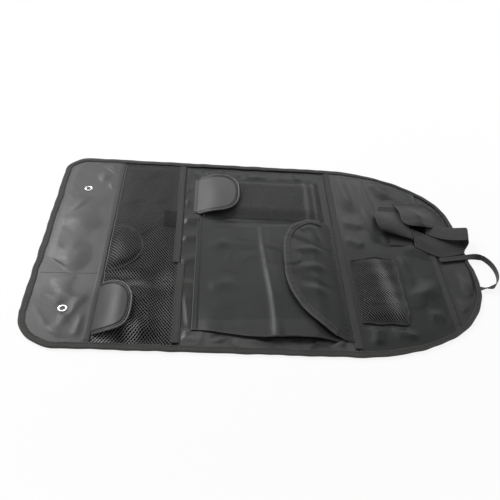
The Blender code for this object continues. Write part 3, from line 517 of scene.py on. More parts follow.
def backing_z(x, y):
    """The backing's height: flat where it is covered, with small folds in the bays that show it."""
    beside_flap = 0.016 * smooth((0.047 - np.abs(y - GLASSES_FLAP_Y)) / 0.004)
    strip = smooth((x - TAPE_1_X - 0.004) / 0.003) * smooth((POCKET_X + 0.006 - beside_flap - x) / 0.003)
    near = smooth((near_fold(x) + 0.004 - y) / 0.006)
    near = near * smooth((x - TAPE_1_X - 0.010) / 0.01) * smooth((MOUTH_X + 0.01 - x) / 0.01)
    far = smooth((y - 0.164) / 0.006) * smooth((x - TAPE_1_X) / 0.01) * smooth((TAPE_2_X - x) / 0.01)
    bay = smooth((x - HEM_X - 0.006) / 0.02) * smooth((TAPE_1_X - 0.010 - x) / 0.02)
    tip = smooth((x - NOSE_HEM_X - 0.005) / 0.012)
    bumps = strip * (0.0006 * (0.4 + crumple(0.25 * x, y, 0.040, 4)) + folds(x, y, STRIP_FOLDS))
    bumps = bumps + near * (0.0016 * (0.4 + crumple(x, 0.8 * y, 0.034, 9)) + folds(x, y, NEAR_SIDE_FOLDS))
    bumps = bumps + 0.0018 * far * (0.4 + crumple(x, 0.5 * y, 0.030, 12))
    bumps = bumps + 0.0010 * bay * (0.4 + crumple(x, y, 0.060, 15))
    bumps = bumps + 0.0024 * tip * (0.35 + crumple(x, y, 0.060, 21))
    return level(0) + smooth((inset(x, y) - UNDER_BINDING) / 0.010) * raised(bumps)


def net_shade(x, y, left, right, near, far):
    """Share of painted shade under a net: 1 inside its four sides, and 0 outside them, eased over 3 mm."""
    inside = np.minimum(np.minimum(x - left, right - x), np.minimum(y - near, far - y))
    return smooth(inside / 0.003)


def backing():
    """Base cloth: x runs along the panel, closer together at its ends, and y from its near to its far edge.

    It has painted shade under the nets, and painted highlights on the crinkles along the near strip.
    """
    corner = LEFT + CORNERS[0] * (1 - np.cos(np.linspace(0, math.pi / 2, 17)))
    nose = NOSE_X + NOSE_LENGTH * np.sin(np.linspace(0, 1.55, 61)) ** (2 / NOSE_POWER)
    x = np.concatenate((corner, np.linspace(corner[-1], NOSE_X, 136)[1:], nose[1:]))
    v = np.linspace(0, 1, 161)[:, None]
    y = side_y(x, False) * (1 - v) + side_y(x, True) * v
    x = x + 0 * v
    x = x - tip_dent(x, y)
    shade = net_shade(x, y, HEM_X, TAPE_1_X, -0.195, 0.195) * (1 - 0.65 * smooth((y - 0.02) / 0.05))
    shade = np.maximum(shade, 0.6 * net_shade(x, y, POCKET_X + 0.02, MOUTH_X, SPLIT_Y, GLASSES_SEAM_Y))
    # Painted highlights on the near strip's crinkles, in uneven patches.
    crinkle_highlights = np.clip(0.55 + 0.9 * crumple(x, y, 0.024, 91), 0, 1.2)
    crinkle_highlights = crinkle_highlights * smooth((-0.160 - y) / 0.006) * smooth((x - TAPE_1_X - 0.004) / 0.003)
    tint_and_painted_light = -0.9 * shade + crinkle_highlights + 0.35 * smooth((x - NOSE_HEM_X) / 0.004)
    piece = surface("backing_cloth", over(x, y, backing_z), flat_cloth(x, y, tint_and_painted_light), DARK_NYLON,
                    ("base_panel",), SHEET)


def edge_line():
    """The panel's edge as one loop, counterclockwise: arcs at the square end, straight sides and the nose.

    The nose is drawn by an angle: x grows as a power of its sine, and y falls as a power of its cosine.
    """
    turn = np.linspace(0, math.pi / 2, 40)
    nose = np.linspace(0, math.pi / 2, 161)
    near_r, far_r = CORNERS
    near = np.stack((LEFT + near_r - near_r * np.cos(turn), -HALF + near_r - near_r * np.sin(turn)), axis=1)
    far = np.stack((LEFT + far_r - far_r * np.sin(turn), HALF - far_r + far_r * np.cos(turn)), axis=1)
    tip_x = NOSE_X + NOSE_LENGTH * np.sin(nose) ** (2 / NOSE_POWER)
    tip_near = np.stack((tip_x, -HALF * np.cos(nose) ** (2 * NOSE_ROUND[0])), axis=1)
    tip_far = np.stack((tip_x, HALF * np.cos(nose) ** (2 * NOSE_ROUND[1])), axis=1)
    line = np.concatenate((near, tip_near, tip_far[::-1][1:], far, near[:1]))
    line[:, 0] -= tip_dent(line[:, 0], line[:, 1])
    line = np.concatenate((line, np.zeros((len(line), 1))), axis=1)
    return spaced(line, EDGE_STEP)[:-1]


def folded_tape(top, middle, tall, under):
    """A tape's section round an edge, as (inward, height): its top, a half-round bend and its underside."""
    turn = np.linspace(math.pi / 2, -math.pi / 2, 9)
    bend = [(-TAPE_BEND * math.cos(t), middle + tall * math.sin(t)) for t in turn]
    return np.array([*top, *bend, *under])


def edge_binding():
    """Tape folded round the edge: a U-shaped section carried round it, puckered a little at each stitch.

    It is turned in less round the nose. Its edge and its turned-in side wander by slow sines of the run.
    """
    line = edge_line()
    along = directions(line, True)
    left, up = sides_of(along)
    run = EDGE_STEP * np.arange(len(line))
    wander = 0.00035 * np.sin(run / 0.0093 + 2 * np.sin(run / 0.041))
    wander = wander + 0.00025 * np.sin(run / 0.0047 + np.sin(run / 0.03))
    line = line + left * (wander + 0.0002)[:, None]
    narrowed = 0.24 * smooth((line[:, 0] - NOSE_X) / (NOSE_LENGTH / 2))
    share = 0.80 - narrowed - 0.06 * smooth(-line[:, 1] / 0.1 - 1)
    top, bottom = level(2, TAPE), TAPE / 2
    middle, tall = (top + bottom) / 2, (top - bottom) / 2
    section = folded_tape(
        ((BINDING, top - 0.0002), (BINDING - 0.0006, top), (0.0072, top + 0.0002), (0.0050, top - 0.0001),
         (0.0030, top + 0.0001), (0.0012, top)), middle, tall,
        ((0.0012, bottom), (0.0040, bottom), (0.0070, bottom), (BINDING, bottom)))
    inward = np.where(section[:, 0] > 0, share[:, None], 1.0) * section[:, 0]
    places = line[:, None] + left[:, None] * inward[..., None] + up[:, None] * section[None, :, 1:]
    upper = (section[:, 1] > middle) * np.clip(section[:, 0] / BINDING, 0, 1)
    ripple = 0.00018 * np.sin(2 * math.pi * run / 0.0068)
    ripple = ripple + 0.00022 * np.sin(run / 0.013 + 2 * np.sin(run / 0.05))
    places[..., 2] += ripple[:, None] * upper * (section[:, 0] > 0.002)
    sway = 0.0004 * np.sin(run / 0.021 + np.sin(run / 0.07))
    places += left[:, None] * (sway[:, None] * upper)[..., None]
    tint_and_painted_light = np.clip(1 - np.abs(section[:, 0] + 0.0002) / 0.0012, 0, 1) * 0.8
    tint_and_painted_light = np.maximum(tint_and_painted_light, 0.35 * (section[:, 0] > BINDING - 0.0008) * (section[:, 1] > middle))
    inward, along_tape = np.meshgrid(section[:, 0], run)
    piece = surface("edge_tape", places, flat_cloth(inward, along_tape, tint_and_painted_light[None]), TAPE_CLOTH,
                    ("edge_binding",), TAPE, loop=True)
    row = line + left * (0.0080 * share)[:, None]
    row[:, 2] = top + 0.00050
    return np.concatenate((row, row[:1]))


def top_panel_z(x, y):
    """Puffed between its seams, creased as in the photograph, and flat at its edges and eyelets."""
    wide, high = HEM_X - LEFT, HALF
    puffs = (hill(x, y, LEFT + 0.53 * wide, 0.26 * high, 0.32 * wide, 0.23 * high)
             + hill(x, y, LEFT + 0.58 * wide, -0.20 * high, 0.29 * wide, 0.17 * high)
             + 0.8 * hill(x, y, LEFT + 0.67 * wide, 0.76 * high, 0.21 * wide, 0.12 * high))
    z = 0.85 * (0.0030 * puffs + folds(x, y, TOP_PANEL_FOLDS))
    z = z + 0.0020 * crumple(x, y, 0.120, 3) + 0.00012 * crumple(x, y, 0.026, 5)
    z = z - 0.0012 * bell((y + 0.073) / 0.004)
    seam = smooth((HEM_X - 0.0085 - x) / 0.010) * smooth((inset(x, y) - UNDER_BINDING) / 0.012)
    for _, rim_x, rim_y in EYELETS:
        seam = seam * smooth((np.hypot(x - rim_x, y - rim_y) - 0.0066) / 0.008)
    hem = 0.0004 * smooth((x - HEM_X + 0.0095) / 0.0040)
    return level(1) + raised(z) * seam + hem * smooth((inset(x, y) - UNDER_BINDING) / 0.002)


def top_panel():
    """Plain panel: x from the square end to the hem, y between its sides. The hem turns under at the right.

    Places within 8.5 mm of an eyelet's middle are pushed out of its 4.4 mm hole by a power of their distance.
    """
    u, v = grid(88, 270)
    y = (2 * v - 1) * (HALF - 0.001)
    corner = np.where(y > 0, CORNERS[1], CORNERS[0])
    past = np.clip(np.abs(y) - (HALF - corner), 0, None)
    start = LEFT + corner - np.sqrt(np.clip((corner - 0.001) ** 2 - past ** 2, 0, None))
    x = start + (HEM_X - start) * u
    # Painted shade: darker along the hem strip and towards the near side.
    tint_and_painted_light = -0.30 * smooth((x - HEM_X + 0.0095) / 0.003) - 0.22 * smooth((NEAR_BAY_Y - y) / 0.04)
    places = over(x, y, top_panel_z)
    hole, pushed = 0.0044, 0.0085
    for _, rim_x, rim_y in EYELETS:
        away = places[..., :2] - (rim_x, rim_y)
        far = np.linalg.norm(away, axis=-1)
        eased = hole + (pushed - hole) * (far / pushed) ** 1.5
        push = np.where(far < pushed, eased, far) / np.maximum(far, 1e-6)
        places[..., :2] = (rim_x, rim_y) + away * push[..., None]
    piece = surface("plain_top_panel", places, flat_cloth(x, y, tint_and_painted_light), LIGHT_NYLON, ("top_panel",),
                    SHEET)
    y = np.linspace(-0.188, 0.188, 400)
    sway = 0.0005 * np.sin(y / 0.011 + 2 * np.sin(y / 0.03))
    rows = [over(HEM_X - back + sway, y, top_panel_z, ON_SHEET) for back in (0.0015, 0.0085)]
    x = np.linspace(LEFT + 0.012, HEM_X - 0.009, 120)
    return rows + [over(x, -0.0745 + 0.0025 * (x - LEFT) / 0.095, top_panel_z, ON_SHEET)]


def eyelets():
    """Each eyelet is a crowned ring turned about its middle: a closed section carried round a circle."""
    seat = level(1) + SHEET / 2 + PLAY
    flange, inner, outer, rolled, foot = 0.0062, 0.0033, 0.0038, 0.0046, 0.00035
    arc = np.linspace(0, math.pi, 12)
    crown = np.stack((0.00475 - 0.00145 * np.cos(arc), seat + 0.00075 * np.sin(arc) + 0.0001), axis=1)
    barrel = np.array(((flange, seat), (outer, seat), (outer, foot), (rolled, foot), (rolled, 0.0),
                       (inner, 0.0), (inner, 0.0015)))
    section = np.concatenate((crown, barrel))
    turn = np.linspace(0, 2 * math.pi, 64, endpoint=False)[:, None]
    for name, x, y in EYELETS:
        places = np.stack((x + section[None, :, 0] * np.cos(turn), y + section[None, :, 0] * np.sin(turn),
                           section[None, :, 1] + 0 * turn), axis=-1)
        surface(f"eyelet_ring_{name}", places, np.zeros_like(places), STEEL, (f"eyelet_{name}",),
                ring=True, loop=True, flip=True)
        washer = bpy.data.objects[f"eyelet_washer_{name}"].data.materials
        washer.clear()
        washer.append(STEEL)


# Bottle net and the divider tapes

def bottle_net_z(x, y):
    """Two slack pockets side by side, low at their seams, slack in the middle and raised at the mouth."""
    binding_y = 0.18865
    side = np.minimum(np.abs(y - BOTTLE_SEAM_Y), binding_y - np.abs(y))
    foot = TAPE_1_X - 0.0106 - x
    ease = smooth(side / 0.022) * smooth(foot / 0.026)
    mouth = smooth((HEM_X + 0.070 - x) / 0.070)
    disc = smooth((0.052 - np.hypot(x + 0.236, (y + 0.016) * 1.08)) / 0.010)
    near = smooth((NEAR_BAY_Y - y) / 0.02)
    under = smooth((HEM_X + 0.050 - x) / 0.030)
    rise = 0.0022 + 0.0026 * mouth * (1 - near) + 0.0036 * disc + near * (0.0060 - 0.0034 * under)
    rise = rise + 0.0014 * crumple(x, y, 0.055, 31)
    gather = 0.0014 * np.sin(2 * math.pi * (x + 0.35 * y) / 0.016)
    gather = gather * smooth((-0.135 - y) / 0.04) * smooth((0.086 - HALF - y) / 0.02)
    hem = 0.1 + 0.9 * smooth((x - HEM_X - 0.001) / 0.016)
    return level(1, NET_THICK) + ease * (0.0004 + raised(rise + gather)) * hem


def bottle_net_highlights_and_patch(x, y):
    """Painted highlights on the yarn: a little over the tucked flap, beside the seam and in the gathers.

    It is darker over the small patch beside the divider tape. A spot is its middle, its reaches and share.
    """
    spots = ((-0.222, -0.030, 0.016, 0.030, 0.20), (-0.210, -0.072, 0.030, 0.009, 0.30),
             (-0.190, -0.088, 0.020, 0.012, 0.30), (-0.150, -0.080, 0.018, 0.030, 0.20),
             (-0.222, -0.188, 0.024, 0.014, 0.75), (-0.186, -0.176, 0.015, 0.024, 0.60),
             (-0.150, -0.140, 0.020, 0.050, 0.12))
    patch = smooth((x + 0.163) / 0.001) * smooth((0.021 - np.abs(y - 0.051)) / 0.001)
    return np.clip(1.5 * sum(share * hill(x, y, *spot) for *spot, share in spots), 0, 1) - 0.5 * patch


def bottle_net_turned(u, v):
    """The near gathers pull the net the other way, so the heavier yarns run across there."""
    return smooth((0.058 - v) / 0.012) * smooth((0.072 - u) / 0.012)


def bottle_net():
    """Open knitted net over the two bottle pockets, sewn under the binding and the first divider tape."""
    def place(u, v):
        """The flat net at the pockets' height, drawn between the hem and the divider tape."""
        y = v - (HALF - 0.001)
        start = HEM_X + 0.0015 + 0.001 * smooth((BOTTLE_SEAM_Y - y) / 0.010 + 1)
        return over(start + (TAPE_1_X + 0.003 - start) * u / 0.100, y, bottle_net_z)

    piece = net("bottle_net", 0.100, 0.398, place, ("bottle_mesh",), bright=bottle_net_highlights_and_patch,
                turned=bottle_net_turned)
    rim = place(0.0, np.linspace(0.011, 0.387, 300))
    rim[:, 2] += 0.0002
    round_cord("bottle_net_mouth", rim, 0.0007, CORD, sides=10)
    x = np.linspace(HEM_X + 0.012, TAPE_1_X - 0.012, 120)
    seam = over(x, BOTTLE_SEAM_Y, bottle_net_z, 0.0004)
    patch = np.array(((TAPE_1_X - 0.008, 0.072), (-0.163, 0.072), (-0.163, 0.030), (TAPE_1_X - 0.008, 0.030)))
    patch = spaced(patch, 0.0015)
    return [seam - (0.0, 0.0012, 0.0), seam + (0.0, 0.0012, 0.0),
            over(patch[:, 0], patch[:, 1], bottle_net_z, 0.0006)]


def ribbed_tape(name, start, end, width, height, nodes):
    """A flat tape from start to end, whose middle line swings a little and whose edges stand proud.

    The height is a sixth power of the share across for the edges, less a bell beside each for its groove.
    """
    length = math.dist(start, end)
    u, v = grid(12, int(length / 0.002))
    across = 2 * u - 1
    y = start[1] + (end[1] - start[1]) * v
    x = start[0] + (end[0] - start[0]) * v + across * width / 2
    x = x + 0.0003 * np.sin(v * length / 0.018 + np.sin(v * length / 0.05))
    z = height + 0.00012 * np.abs(across) ** 6 - 0.00012 * bell((np.abs(across) - 0.7) / 0.12)
    z = z + 0.00010 * np.sin(v * length / 0.0045) * np.abs(across)
    tint_and_painted_light = np.clip((np.abs(across) - 0.86) / 0.14, 0, 1) * 0.6
    surface(name, np.stack((x, y, z), axis=-1), flat_cloth(across * width / 2, v * length, tint_and_painted_light), TAPE_CLOTH,
            nodes, TAPE)
    t = np.linspace(0.01, 0.99, 300)
    ends = np.array(start), np.array(end)
    middle = ends[0] + (ends[1] - ends[0]) * t[:, None]
    return [np.stack((middle[:, 0] + side * width / 2, middle[:, 1], 0 * t + height + 0.00035), axis=1)
            for side in (-0.7, 0.7)]


def divider_tapes():
    """Three ribbed tapes: the first divider's two runs, a little out of line, and the second divider."""
    height, end = level(2, TAPE) + PLAY / 2, 0.1893
    far_x, near_x = TAPE_1_X - 0.0045, TAPE_1_X + 0.0050
    runs = (("far", (far_x, end), (far_x + 0.003, -0.04465), "divider_tape_1_far"),
            ("near", (near_x, -0.04535), (near_x, -end), "divider_tape_1_near"),
            ("right", (TAPE_2_X, end), (TAPE_2_X, -end), "divider_tape_2"))
    rows = []
    for name, start, stop, solid in runs:
        rows += ribbed_tape(f"divider_tape_{name}", start, stop, TAPE_WIDTH, height, (solid,))
    return rows


# Half-round flaps

def puffed(x, y, hinge_x, centre_y, reach, half, climb, power):
    """How far up a puffed flap stands, from 0 to 1, and its shares along and across.

    The rise is a power of the sine of a quarter turn, which is over when the share along comes to climb.
    """
    along, across = (x - hinge_x) / reach, (y - centre_y) / half
    return np.sin(math.pi / 2 * np.clip(along / climb, 0, 1)) ** power, along, across


def bottle_flap_z(x, y):
    """The bottle flap's height: puffed, lower towards its sides, with a low crown."""
    rise, along, across = puffed(x, y, HEM_X, BOTTLE_FLAP_Y, BOTTLE_FLAP_REACH, BOTTLE_FLAP_HALF, 0.80, 0.85)
    crown = 0.0008 * hill(along, across, 0.60, 0.0, 0.50, 0.9)
    return level(1) + 0.0004 + 0.0140 * rise * (1 - 0.10 * across ** 2) + crown


def tucked_flap_z(x, y):
    """The tucked flap's height: it lies nearly flat under the net."""
    return level(1) + 0.0004 + 0.0030 * smooth((x - HEM_X) / 0.023)


def glasses_flap_z(x, y):
    """The glasses flap's height: puffed, lower towards its sides, with a low crown."""
    rise, along, across = puffed(x, y, POCKET_X, GLASSES_FLAP_Y, GLASSES_FLAP_REACH, GLASSES_FLAP_HALF, 0.60,
                                 0.9)
    crown = 0.0009 * hill(along, across, 0.60, 0.0, 0.44, 0.9)
    return level(1) + 0.0112 * rise * (1 - 0.06 * across ** 2) + crown


def half_round_flap(name, hinge_x, centre_y, half, reach, shoulder, height, root, finish, powers,
                    shade):
    """A flap that reaches past its hinge in a squared half round, with piping and a groove beside it.

    Its reach is (1 - a ** p) ** (1 / p) for a share a across it, where p is 2 for an ellipse. powers holds p
    for its near half and its far half.
    """
    u, v = grid(44, 72)
    across = np.sin((2 * v - 1) * math.pi / 2)
    power = np.where(across < 0, *powers)
    out = shoulder + (reach - shoulder) * np.clip(1 - np.abs(across) ** power, 0, None) ** (1 / power)
    x = hinge_x - root + u * (root + out)
    y = centre_y + across * half
    ahead = np.clip((x - hinge_x - shoulder) / (reach - shoulder), 0, None)
    outward = (ahead ** power + np.abs(across) ** power) ** (1 / power) - 0.945
    piped = finish is LIGHT_NYLON
    places = over(x, y, height, -0.0004 * bell(outward / 0.022))
    # Painted shade: the whole flap is darkened by its shade, and the groove beside the piping more.
    tint_and_painted_light = shade - 0.6 * bell(outward / 0.030) * piped
    piece = surface(f"{name}_cloth", places, flat_cloth(x, y, tint_and_painted_light), finish, (name,), FLAP_THICK)
    angle = np.linspace(-math.pi / 2, math.pi / 2, 120)
    power = np.where(angle < 0, *powers)
    run_out = np.clip(np.cos(angle), 0, None) ** (2 / power)
    run_across = np.sign(angle) * np.abs(np.sin(angle)) ** (2 / power)
    extra = 0.0012 + 2 * PLAY
    cord_x = hinge_x + shoulder + (reach - shoulder + extra) * run_out
    cord_y = centre_y + (half + extra) * run_across
    start = hinge_x + 0.0008
    lead_in, lead_out = np.linspace(start, cord_x[0], 8)[:-1], np.linspace(cord_x[-1], start, 8)[1:]
    cord_x = np.concatenate((lead_in, cord_x, lead_out))
    cord_y = np.concatenate((np.full(7, cord_y[0]), cord_y, np.full(7, cord_y[-1])))
    cord_z = np.maximum(height(cord_x - 0.0012, cord_y), level(0) + 0.00175)
    path = spaced(np.stack((cord_x, cord_y, cord_z), axis=1), 0.0012)
    cord = round_cord(f"{name}_cord", path, 0.0013, CORD if piped else THREAD, (f"{name}_piping",),
                      twist=1.0)
    seam_x = hinge_x + shoulder + (reach - shoulder - 0.0022) * run_out
    return [over(seam_x, centre_y + (half - 0.0022) * run_across, height, 0.0006)]


def flaps():
    """The three half-round flaps: two at the hem over the bottle net, and one over the glasses pocket."""
    # Each flap's shade is painted shade, slight on the bottle and glasses flaps. The tucked flap takes the
    # dark cloth, dark thread piping and a deep shade, all painted shade under the net.
    rows = half_round_flap("bottle_flap", HEM_X, BOTTLE_FLAP_Y, BOTTLE_FLAP_HALF, BOTTLE_FLAP_REACH,
                           shoulder=0.004, height=bottle_flap_z,
                           root=0.0006, finish=LIGHT_NYLON, powers=(3.4, 2.3), shade=-0.24)
    rows += half_round_flap("tucked_flap", HEM_X, TUCKED_FLAP_Y, TUCKED_FLAP_HALF, TUCKED_FLAP_REACH,
                            shoulder=0.004, height=tucked_flap_z,
                            root=0.0006, finish=DARK_NYLON, powers=(2.0, 2.0), shade=-0.85)
    rows += half_round_flap("glasses_flap", POCKET_X, GLASSES_FLAP_Y, GLASSES_FLAP_HALF, GLASSES_FLAP_REACH,
                            shoulder=0.020, height=glasses_flap_z,
                            root=0.006, finish=LIGHT_NYLON, powers=(2.6, 3.0), shade=-0.05)
    return rows


# Glasses pocket and document pocket

def glasses_pocket_z(x, y):
    """A low pocket, open beside its flap, with soft folds in its middle and two pleats at its right."""
    side = np.minimum(GLASSES_SEAM_Y - y, y - SPLIT_Y)
    foot = MOUTH_X - x
    ease = smooth(side / 0.022)
    past_flap = smooth((x - POCKET_X - 0.030) / 0.036)
    rise = 0.0060 * ease * smooth(foot / 0.022) * (0.12 + 0.88 * past_flap)
    pleats = bell((foot - 0.024) / 0.0045) + bell((foot - 0.010) / 0.0035)
    soft = (0.5 + crumple(x, 0.25 * y, 0.036, 41)) * past_flap
    return level(1, NET_THICK) + rise + 0.0026 * pleats * ease + 0.0012 * soft * ease * smooth(foot / 0.03)


def doubled(x, y):
    """How pale the glasses net is painted in its two pleats, where it lies double: partly the doubled yarn,
    partly a painted highlight on the pleats.
    """
    foot = MOUTH_X - x
    return 0.30 * bell((foot - 0.025) / 0.004) + 0.25 * bell((foot - 0.011) / 0.003)


def glasses_pocket():
    """Open knitted net over the glasses pocket, sewn at its far, near and right sides."""
    start, wide = POCKET_X + 0.010, 0.101
    reach = MOUTH_X - start

    def place(u, v):
        """The flat net at the pocket's height."""
        return over(start + u, SPLIT_Y + v, glasses_pocket_z)

    piece = net("glasses_pocket_net", reach, wide, place, ("glasses_pocket",), 0.0019, 0.0024, 0.40, 0.20,
                doubled)
    round_cord("glasses_pocket_mouth", place(0.0, np.linspace(0.0, wide, 90)), 0.0008, CORD, sides=10)
    u = np.linspace(0.002, reach, 200)
    rows = [place(u, 0.0008), place(u, wide - 0.0008), place(reach - 0.001, np.linspace(0.001, 0.100, 90))]
    return [row + (0.0, 0.0, 0.0005) for row in rows]


def document_pocket_z(x, y):
    """Slack at its left, tall at its mouth, with one long crease across it and soft folds by its seams."""
    bend = x - 0.006 * smooth((-y + 0.05) / 0.2)
    crease = 0.0021 * bell((bend + 0.0135 - 0.006 * smooth((0.04 - y) / 0.2)) / 0.0065)
    rise = 0.0022 + 0.0078 * smooth((x - POCKET_X - 0.022) / 0.130)
    rise = rise * (1 - 0.92 * smooth((x - 0.045) / 0.040))
    side = smooth((SPLIT_Y - 2 * PLAY - y) / 0.026)
    foot = smooth((x - POCKET_X) / 0.040)
    soft = 0.0005 * crumple(x, y, 0.120, 57) + 0.0002 * crumple(x, y, 0.050, 52)
    soft = soft + folds(x, y, ((0.0014, (-0.100, 0.040), (-0.030, 0.050), 0.006),
                               (0.0010, (-0.104, -0.010), (-0.060, 0.004), 0.007),
                               (0.0010, (-0.100, -0.092), (-0.050, -0.080), 0.010)))
    corner = 0.0026 * hill(x, y, POCKET_X + 0.012, near_fold(POCKET_X), 0.030, 0.050)
    return level(1) + (rise + corner + crease + soft * smooth((x - POCKET_X) / 0.03)) * side * foot


# The gusset's way down, as its set-in from the near fold and its share of the front's height
GUSSET = ((0.0016, 0.985), (0.0004, 0.94), (0.0, 0.86), (0.0012, 0.78), (0.006, 0.62), (0.0105, 0.46),
          (0.0110, 0.36), (0.006, 0.20), (0.0016, 0.07), (0.001, 0.0))


def document_pocket():
    """The pocket's front runs from its far seam to its near fold, then turns under as a bellows gusset.

    A place's height is the front's height there, times its share of it, which falls to 0 along the gusset.
    """
    top = SPLIT_Y - 2 * PLAY
    seam = top - np.linspace(0, 0.026, 16)
    front = np.concatenate((seam, np.linspace(seam[-1], FOLD_Y + 0.004, 92)[1:]))
    t = np.linspace(0, 1, 46)
    y_row = np.concatenate((front, through([FOLD_Y + row[0] for row in GUSSET], t)))
    share = np.concatenate((np.ones(len(front)), through([row[1] for row in GUSSET], t)))
    run = np.concatenate(([0.0], np.cumsum(np.hypot(np.diff(y_row), 0.006 * np.diff(share)))))
    x, y = np.meshgrid(np.linspace(POCKET_X, MOUTH_X, 150), y_row)
    share = share[:, None] + 0 * x
    y = y + (near_fold(x) - FOLD_Y) * smooth((top - 0.030 - y) / 0.180)
    z = level(1) + (document_pocket_z(x, np.maximum(y, near_fold(x))) - level(1)) * share
    z = z + 0.0008 * smooth((POCKET_X + 0.008 - x) / 0.001)
    bulge = 0.0012 * crumple(x, 0 * x + 0.3, 0.07, 55) * smooth((-0.16 - y) / 0.01) * (share > 0.8)
    tint_and_painted_light = 0.5 * smooth((x - MOUTH_X + 0.002) / 0.001) + 0.8 * bell((share - 0.92) / 0.07) * (y < -0.15)
    cloth = flat_cloth(x, -run[:, None] + 0 * x, np.clip(tint_and_painted_light, 0, 1))
    piece = surface("document_pocket_front", np.stack((x, y + bulge, z), axis=-1), cloth, DARK_NYLON,
                    ("document_pocket",), SHEET, flip=True)
    y = np.linspace(top - 0.001, near_fold(POCKET_X) + 0.006, 200)
    rows = [over(POCKET_X + ahead, y, document_pocket_z, 0.0013) for ahead in (0.0016, 0.0075)]
    x = np.linspace(POCKET_X + 0.002, MOUTH_X - 0.02, 200)
    return rows + [over(x, top - 0.0015, document_pocket_z, 0.0005)]


# Document flap

FLAP_NEAR, FLAP_FAR = FOLD_Y + 0.001, SPLIT_Y - 0.009
HINGE_X = TAPE_2_X - TAPE_WIDTH / 2 + 0.003
FLAP_FOLDS = (
    (0.0016, (0.024, -0.022), (0.082, -0.016), 0.006),
    (0.0016, (0.026, -0.060), (0.084, -0.051), 0.007),
    (0.0014, (0.030, -0.096), (0.080, -0.104), 0.007),
    (0.0020, (0.058, 0.046), (0.076, -0.008), 0.0055),
    (0.0010, (0.040, 0.020), (0.060, 0.036), 0.006))


def document_flap_reach(v):
    """Reach of the flap at v from 0, near, to 1, far: a long round near corner and a tight far one.

    Each side's reach falls as one less a power of the share across, to a power.
    """
    across = 2 * v - 1
    round_far = np.clip(1 - across ** 4, 0, None) ** 0.45
    round_near = np.clip(1 - across ** 2, 0, None) ** 0.60
    return 0.010 + 0.076 * np.where(across > 0, round_far, round_near)


def document_flap_z(x, y):
    """Flat at its hinge, then slowly up over the pocket, with soft folds across it and hinge puckers."""
    away = HINGE_X - 0.004 - x
    rise = 0.0150 + folds(x, y, FLAP_FOLDS) + 0.0010 * crumple(x, y, 0.05, 61)
    pucker = 0.00010 * np.sin(2 * math.pi * y / 0.0085 + 2 * np.sin(y / 0.02))
    pucker = pucker * smooth(away / 0.003) * smooth((0.015 - away) / 0.008)
    return level(1) + smooth(away / 0.045) * rise + pucker


def flap_place(v):
    """X and y of the flap's free edge at v."""
    return HINGE_X - document_flap_reach(v), FLAP_NEAR + (FLAP_FAR - FLAP_NEAR) * v


def document_flap():
    """The flap's cloth from its hinge to its rounded free edge, and a tape folded over that edge."""
    u, v = grid(60, 150)
    edge_x, y = flap_place(0.5 - 0.5 * np.cos(math.pi * v))
    x = HINGE_X + (edge_x - HINGE_X) * u
    cloth = surface("document_flap_cloth", over(x, y, document_flap_z), flat_cloth(x, y), DARK_NYLON,
                    ("document_flap",), SHEET, flip=True)
    edge_x, y = flap_place(0.5 - 0.5 * np.cos(math.pi * np.linspace(1, 0, 260)))
    step, width, offset = 0.0014, 0.009, SHEET / 2 + PLAY + TAPE / 2
    edge = spaced(np.stack((edge_x, y, 0 * y), axis=1), step)
    left, up = sides_of(directions(edge))
    keep = edge[:, 0] + left[:, 0] * width < HINGE_X - 0.022
    edge, left, up = edge[keep], left[keep], up[keep]
    section = folded_tape(
        ((width, offset), (width - 0.0006, offset + 0.0001), (0.006, offset), (0.003, offset)), 0.0, offset,
        ((0.003, -offset), (0.006, -offset), (width, -offset)))
    places = carried(edge, section * (1, 0), left, up)
    held = edge[:, None] + left[:, None] * np.clip(section[None, :, :1], 0, None)
    places[..., 2] = document_flap_z(held[..., 0], held[..., 1]) + section[None, :, 1]
    run = step * np.arange(len(edge))
    above = (section[:, 1] > 0.0003) * (section[:, 0] > 0.002)
    places[..., 2] += 0.00015 * np.sin(run / 0.0016)[:, None] * above
    tint_and_painted_light = np.clip(1 - np.abs(section[:, 0] + 0.0003) / 0.0012, 0, 1) * 0.9
    inward, along_tape = np.meshgrid(section[:, 0], run)
    tape = surface("document_flap_tape", places, flat_cloth(inward, along_tape, tint_and_painted_light[None]), TAPE_CLOTH,
                   ("document_flap_binding",), TAPE)
    row = edge + left * 0.0062
    y = np.linspace(FLAP_NEAR + 0.012, FLAP_FAR - 0.006, 200)
    return [over(row[:, 0], row[:, 1], document_flap_z, offset + 0.00035)] + [
        over(HINGE_X - back, y, document_flap_z, SHEET / 2 + 0.00005) for back in (0.0046, 0.0096)]


# Nose panel and its net

NOSE_FOLDS = (
    (0.0060, (0.146, 0.214), (0.166, 0.020), 0.0100),
    (0.0046, (0.118, 0.196), (0.134, 0.080), 0.0110),
    (0.0022, (0.108, 0.060), (0.150, 0.052), 0.0110),
    (0.0020, (0.108, 0.026), (0.146, 0.006), 0.0100),
    (0.0034, (0.176, 0.180), (0.200, 0.120), 0.0110),
    (0.0030, (0.172, 0.060), (0.180, 0.004), 0.0075),
    (0.0018, (0.194, 0.008), (0.246, 0.000), 0.0090),
    (0.0022, (0.188, -0.002), (0.200, -0.086), 0.0075),
    (0.0020, (0.188, -0.098), (0.242, -0.072), 0.0100),
    (0.0036, (0.134, -0.146), (0.126, -0.190), 0.0075),
    (0.0036, (0.148, -0.156), (0.190, -0.170), 0.0075),
    (0.0024, (0.204, -0.128), (0.236, -0.128), 0.0100))
NOSE_NET_NEAR, NOSE_NET_WIDE, NOSE_NET_LONG = -0.146, 0.129, 0.065
NOSE_NET_Y = -0.0815


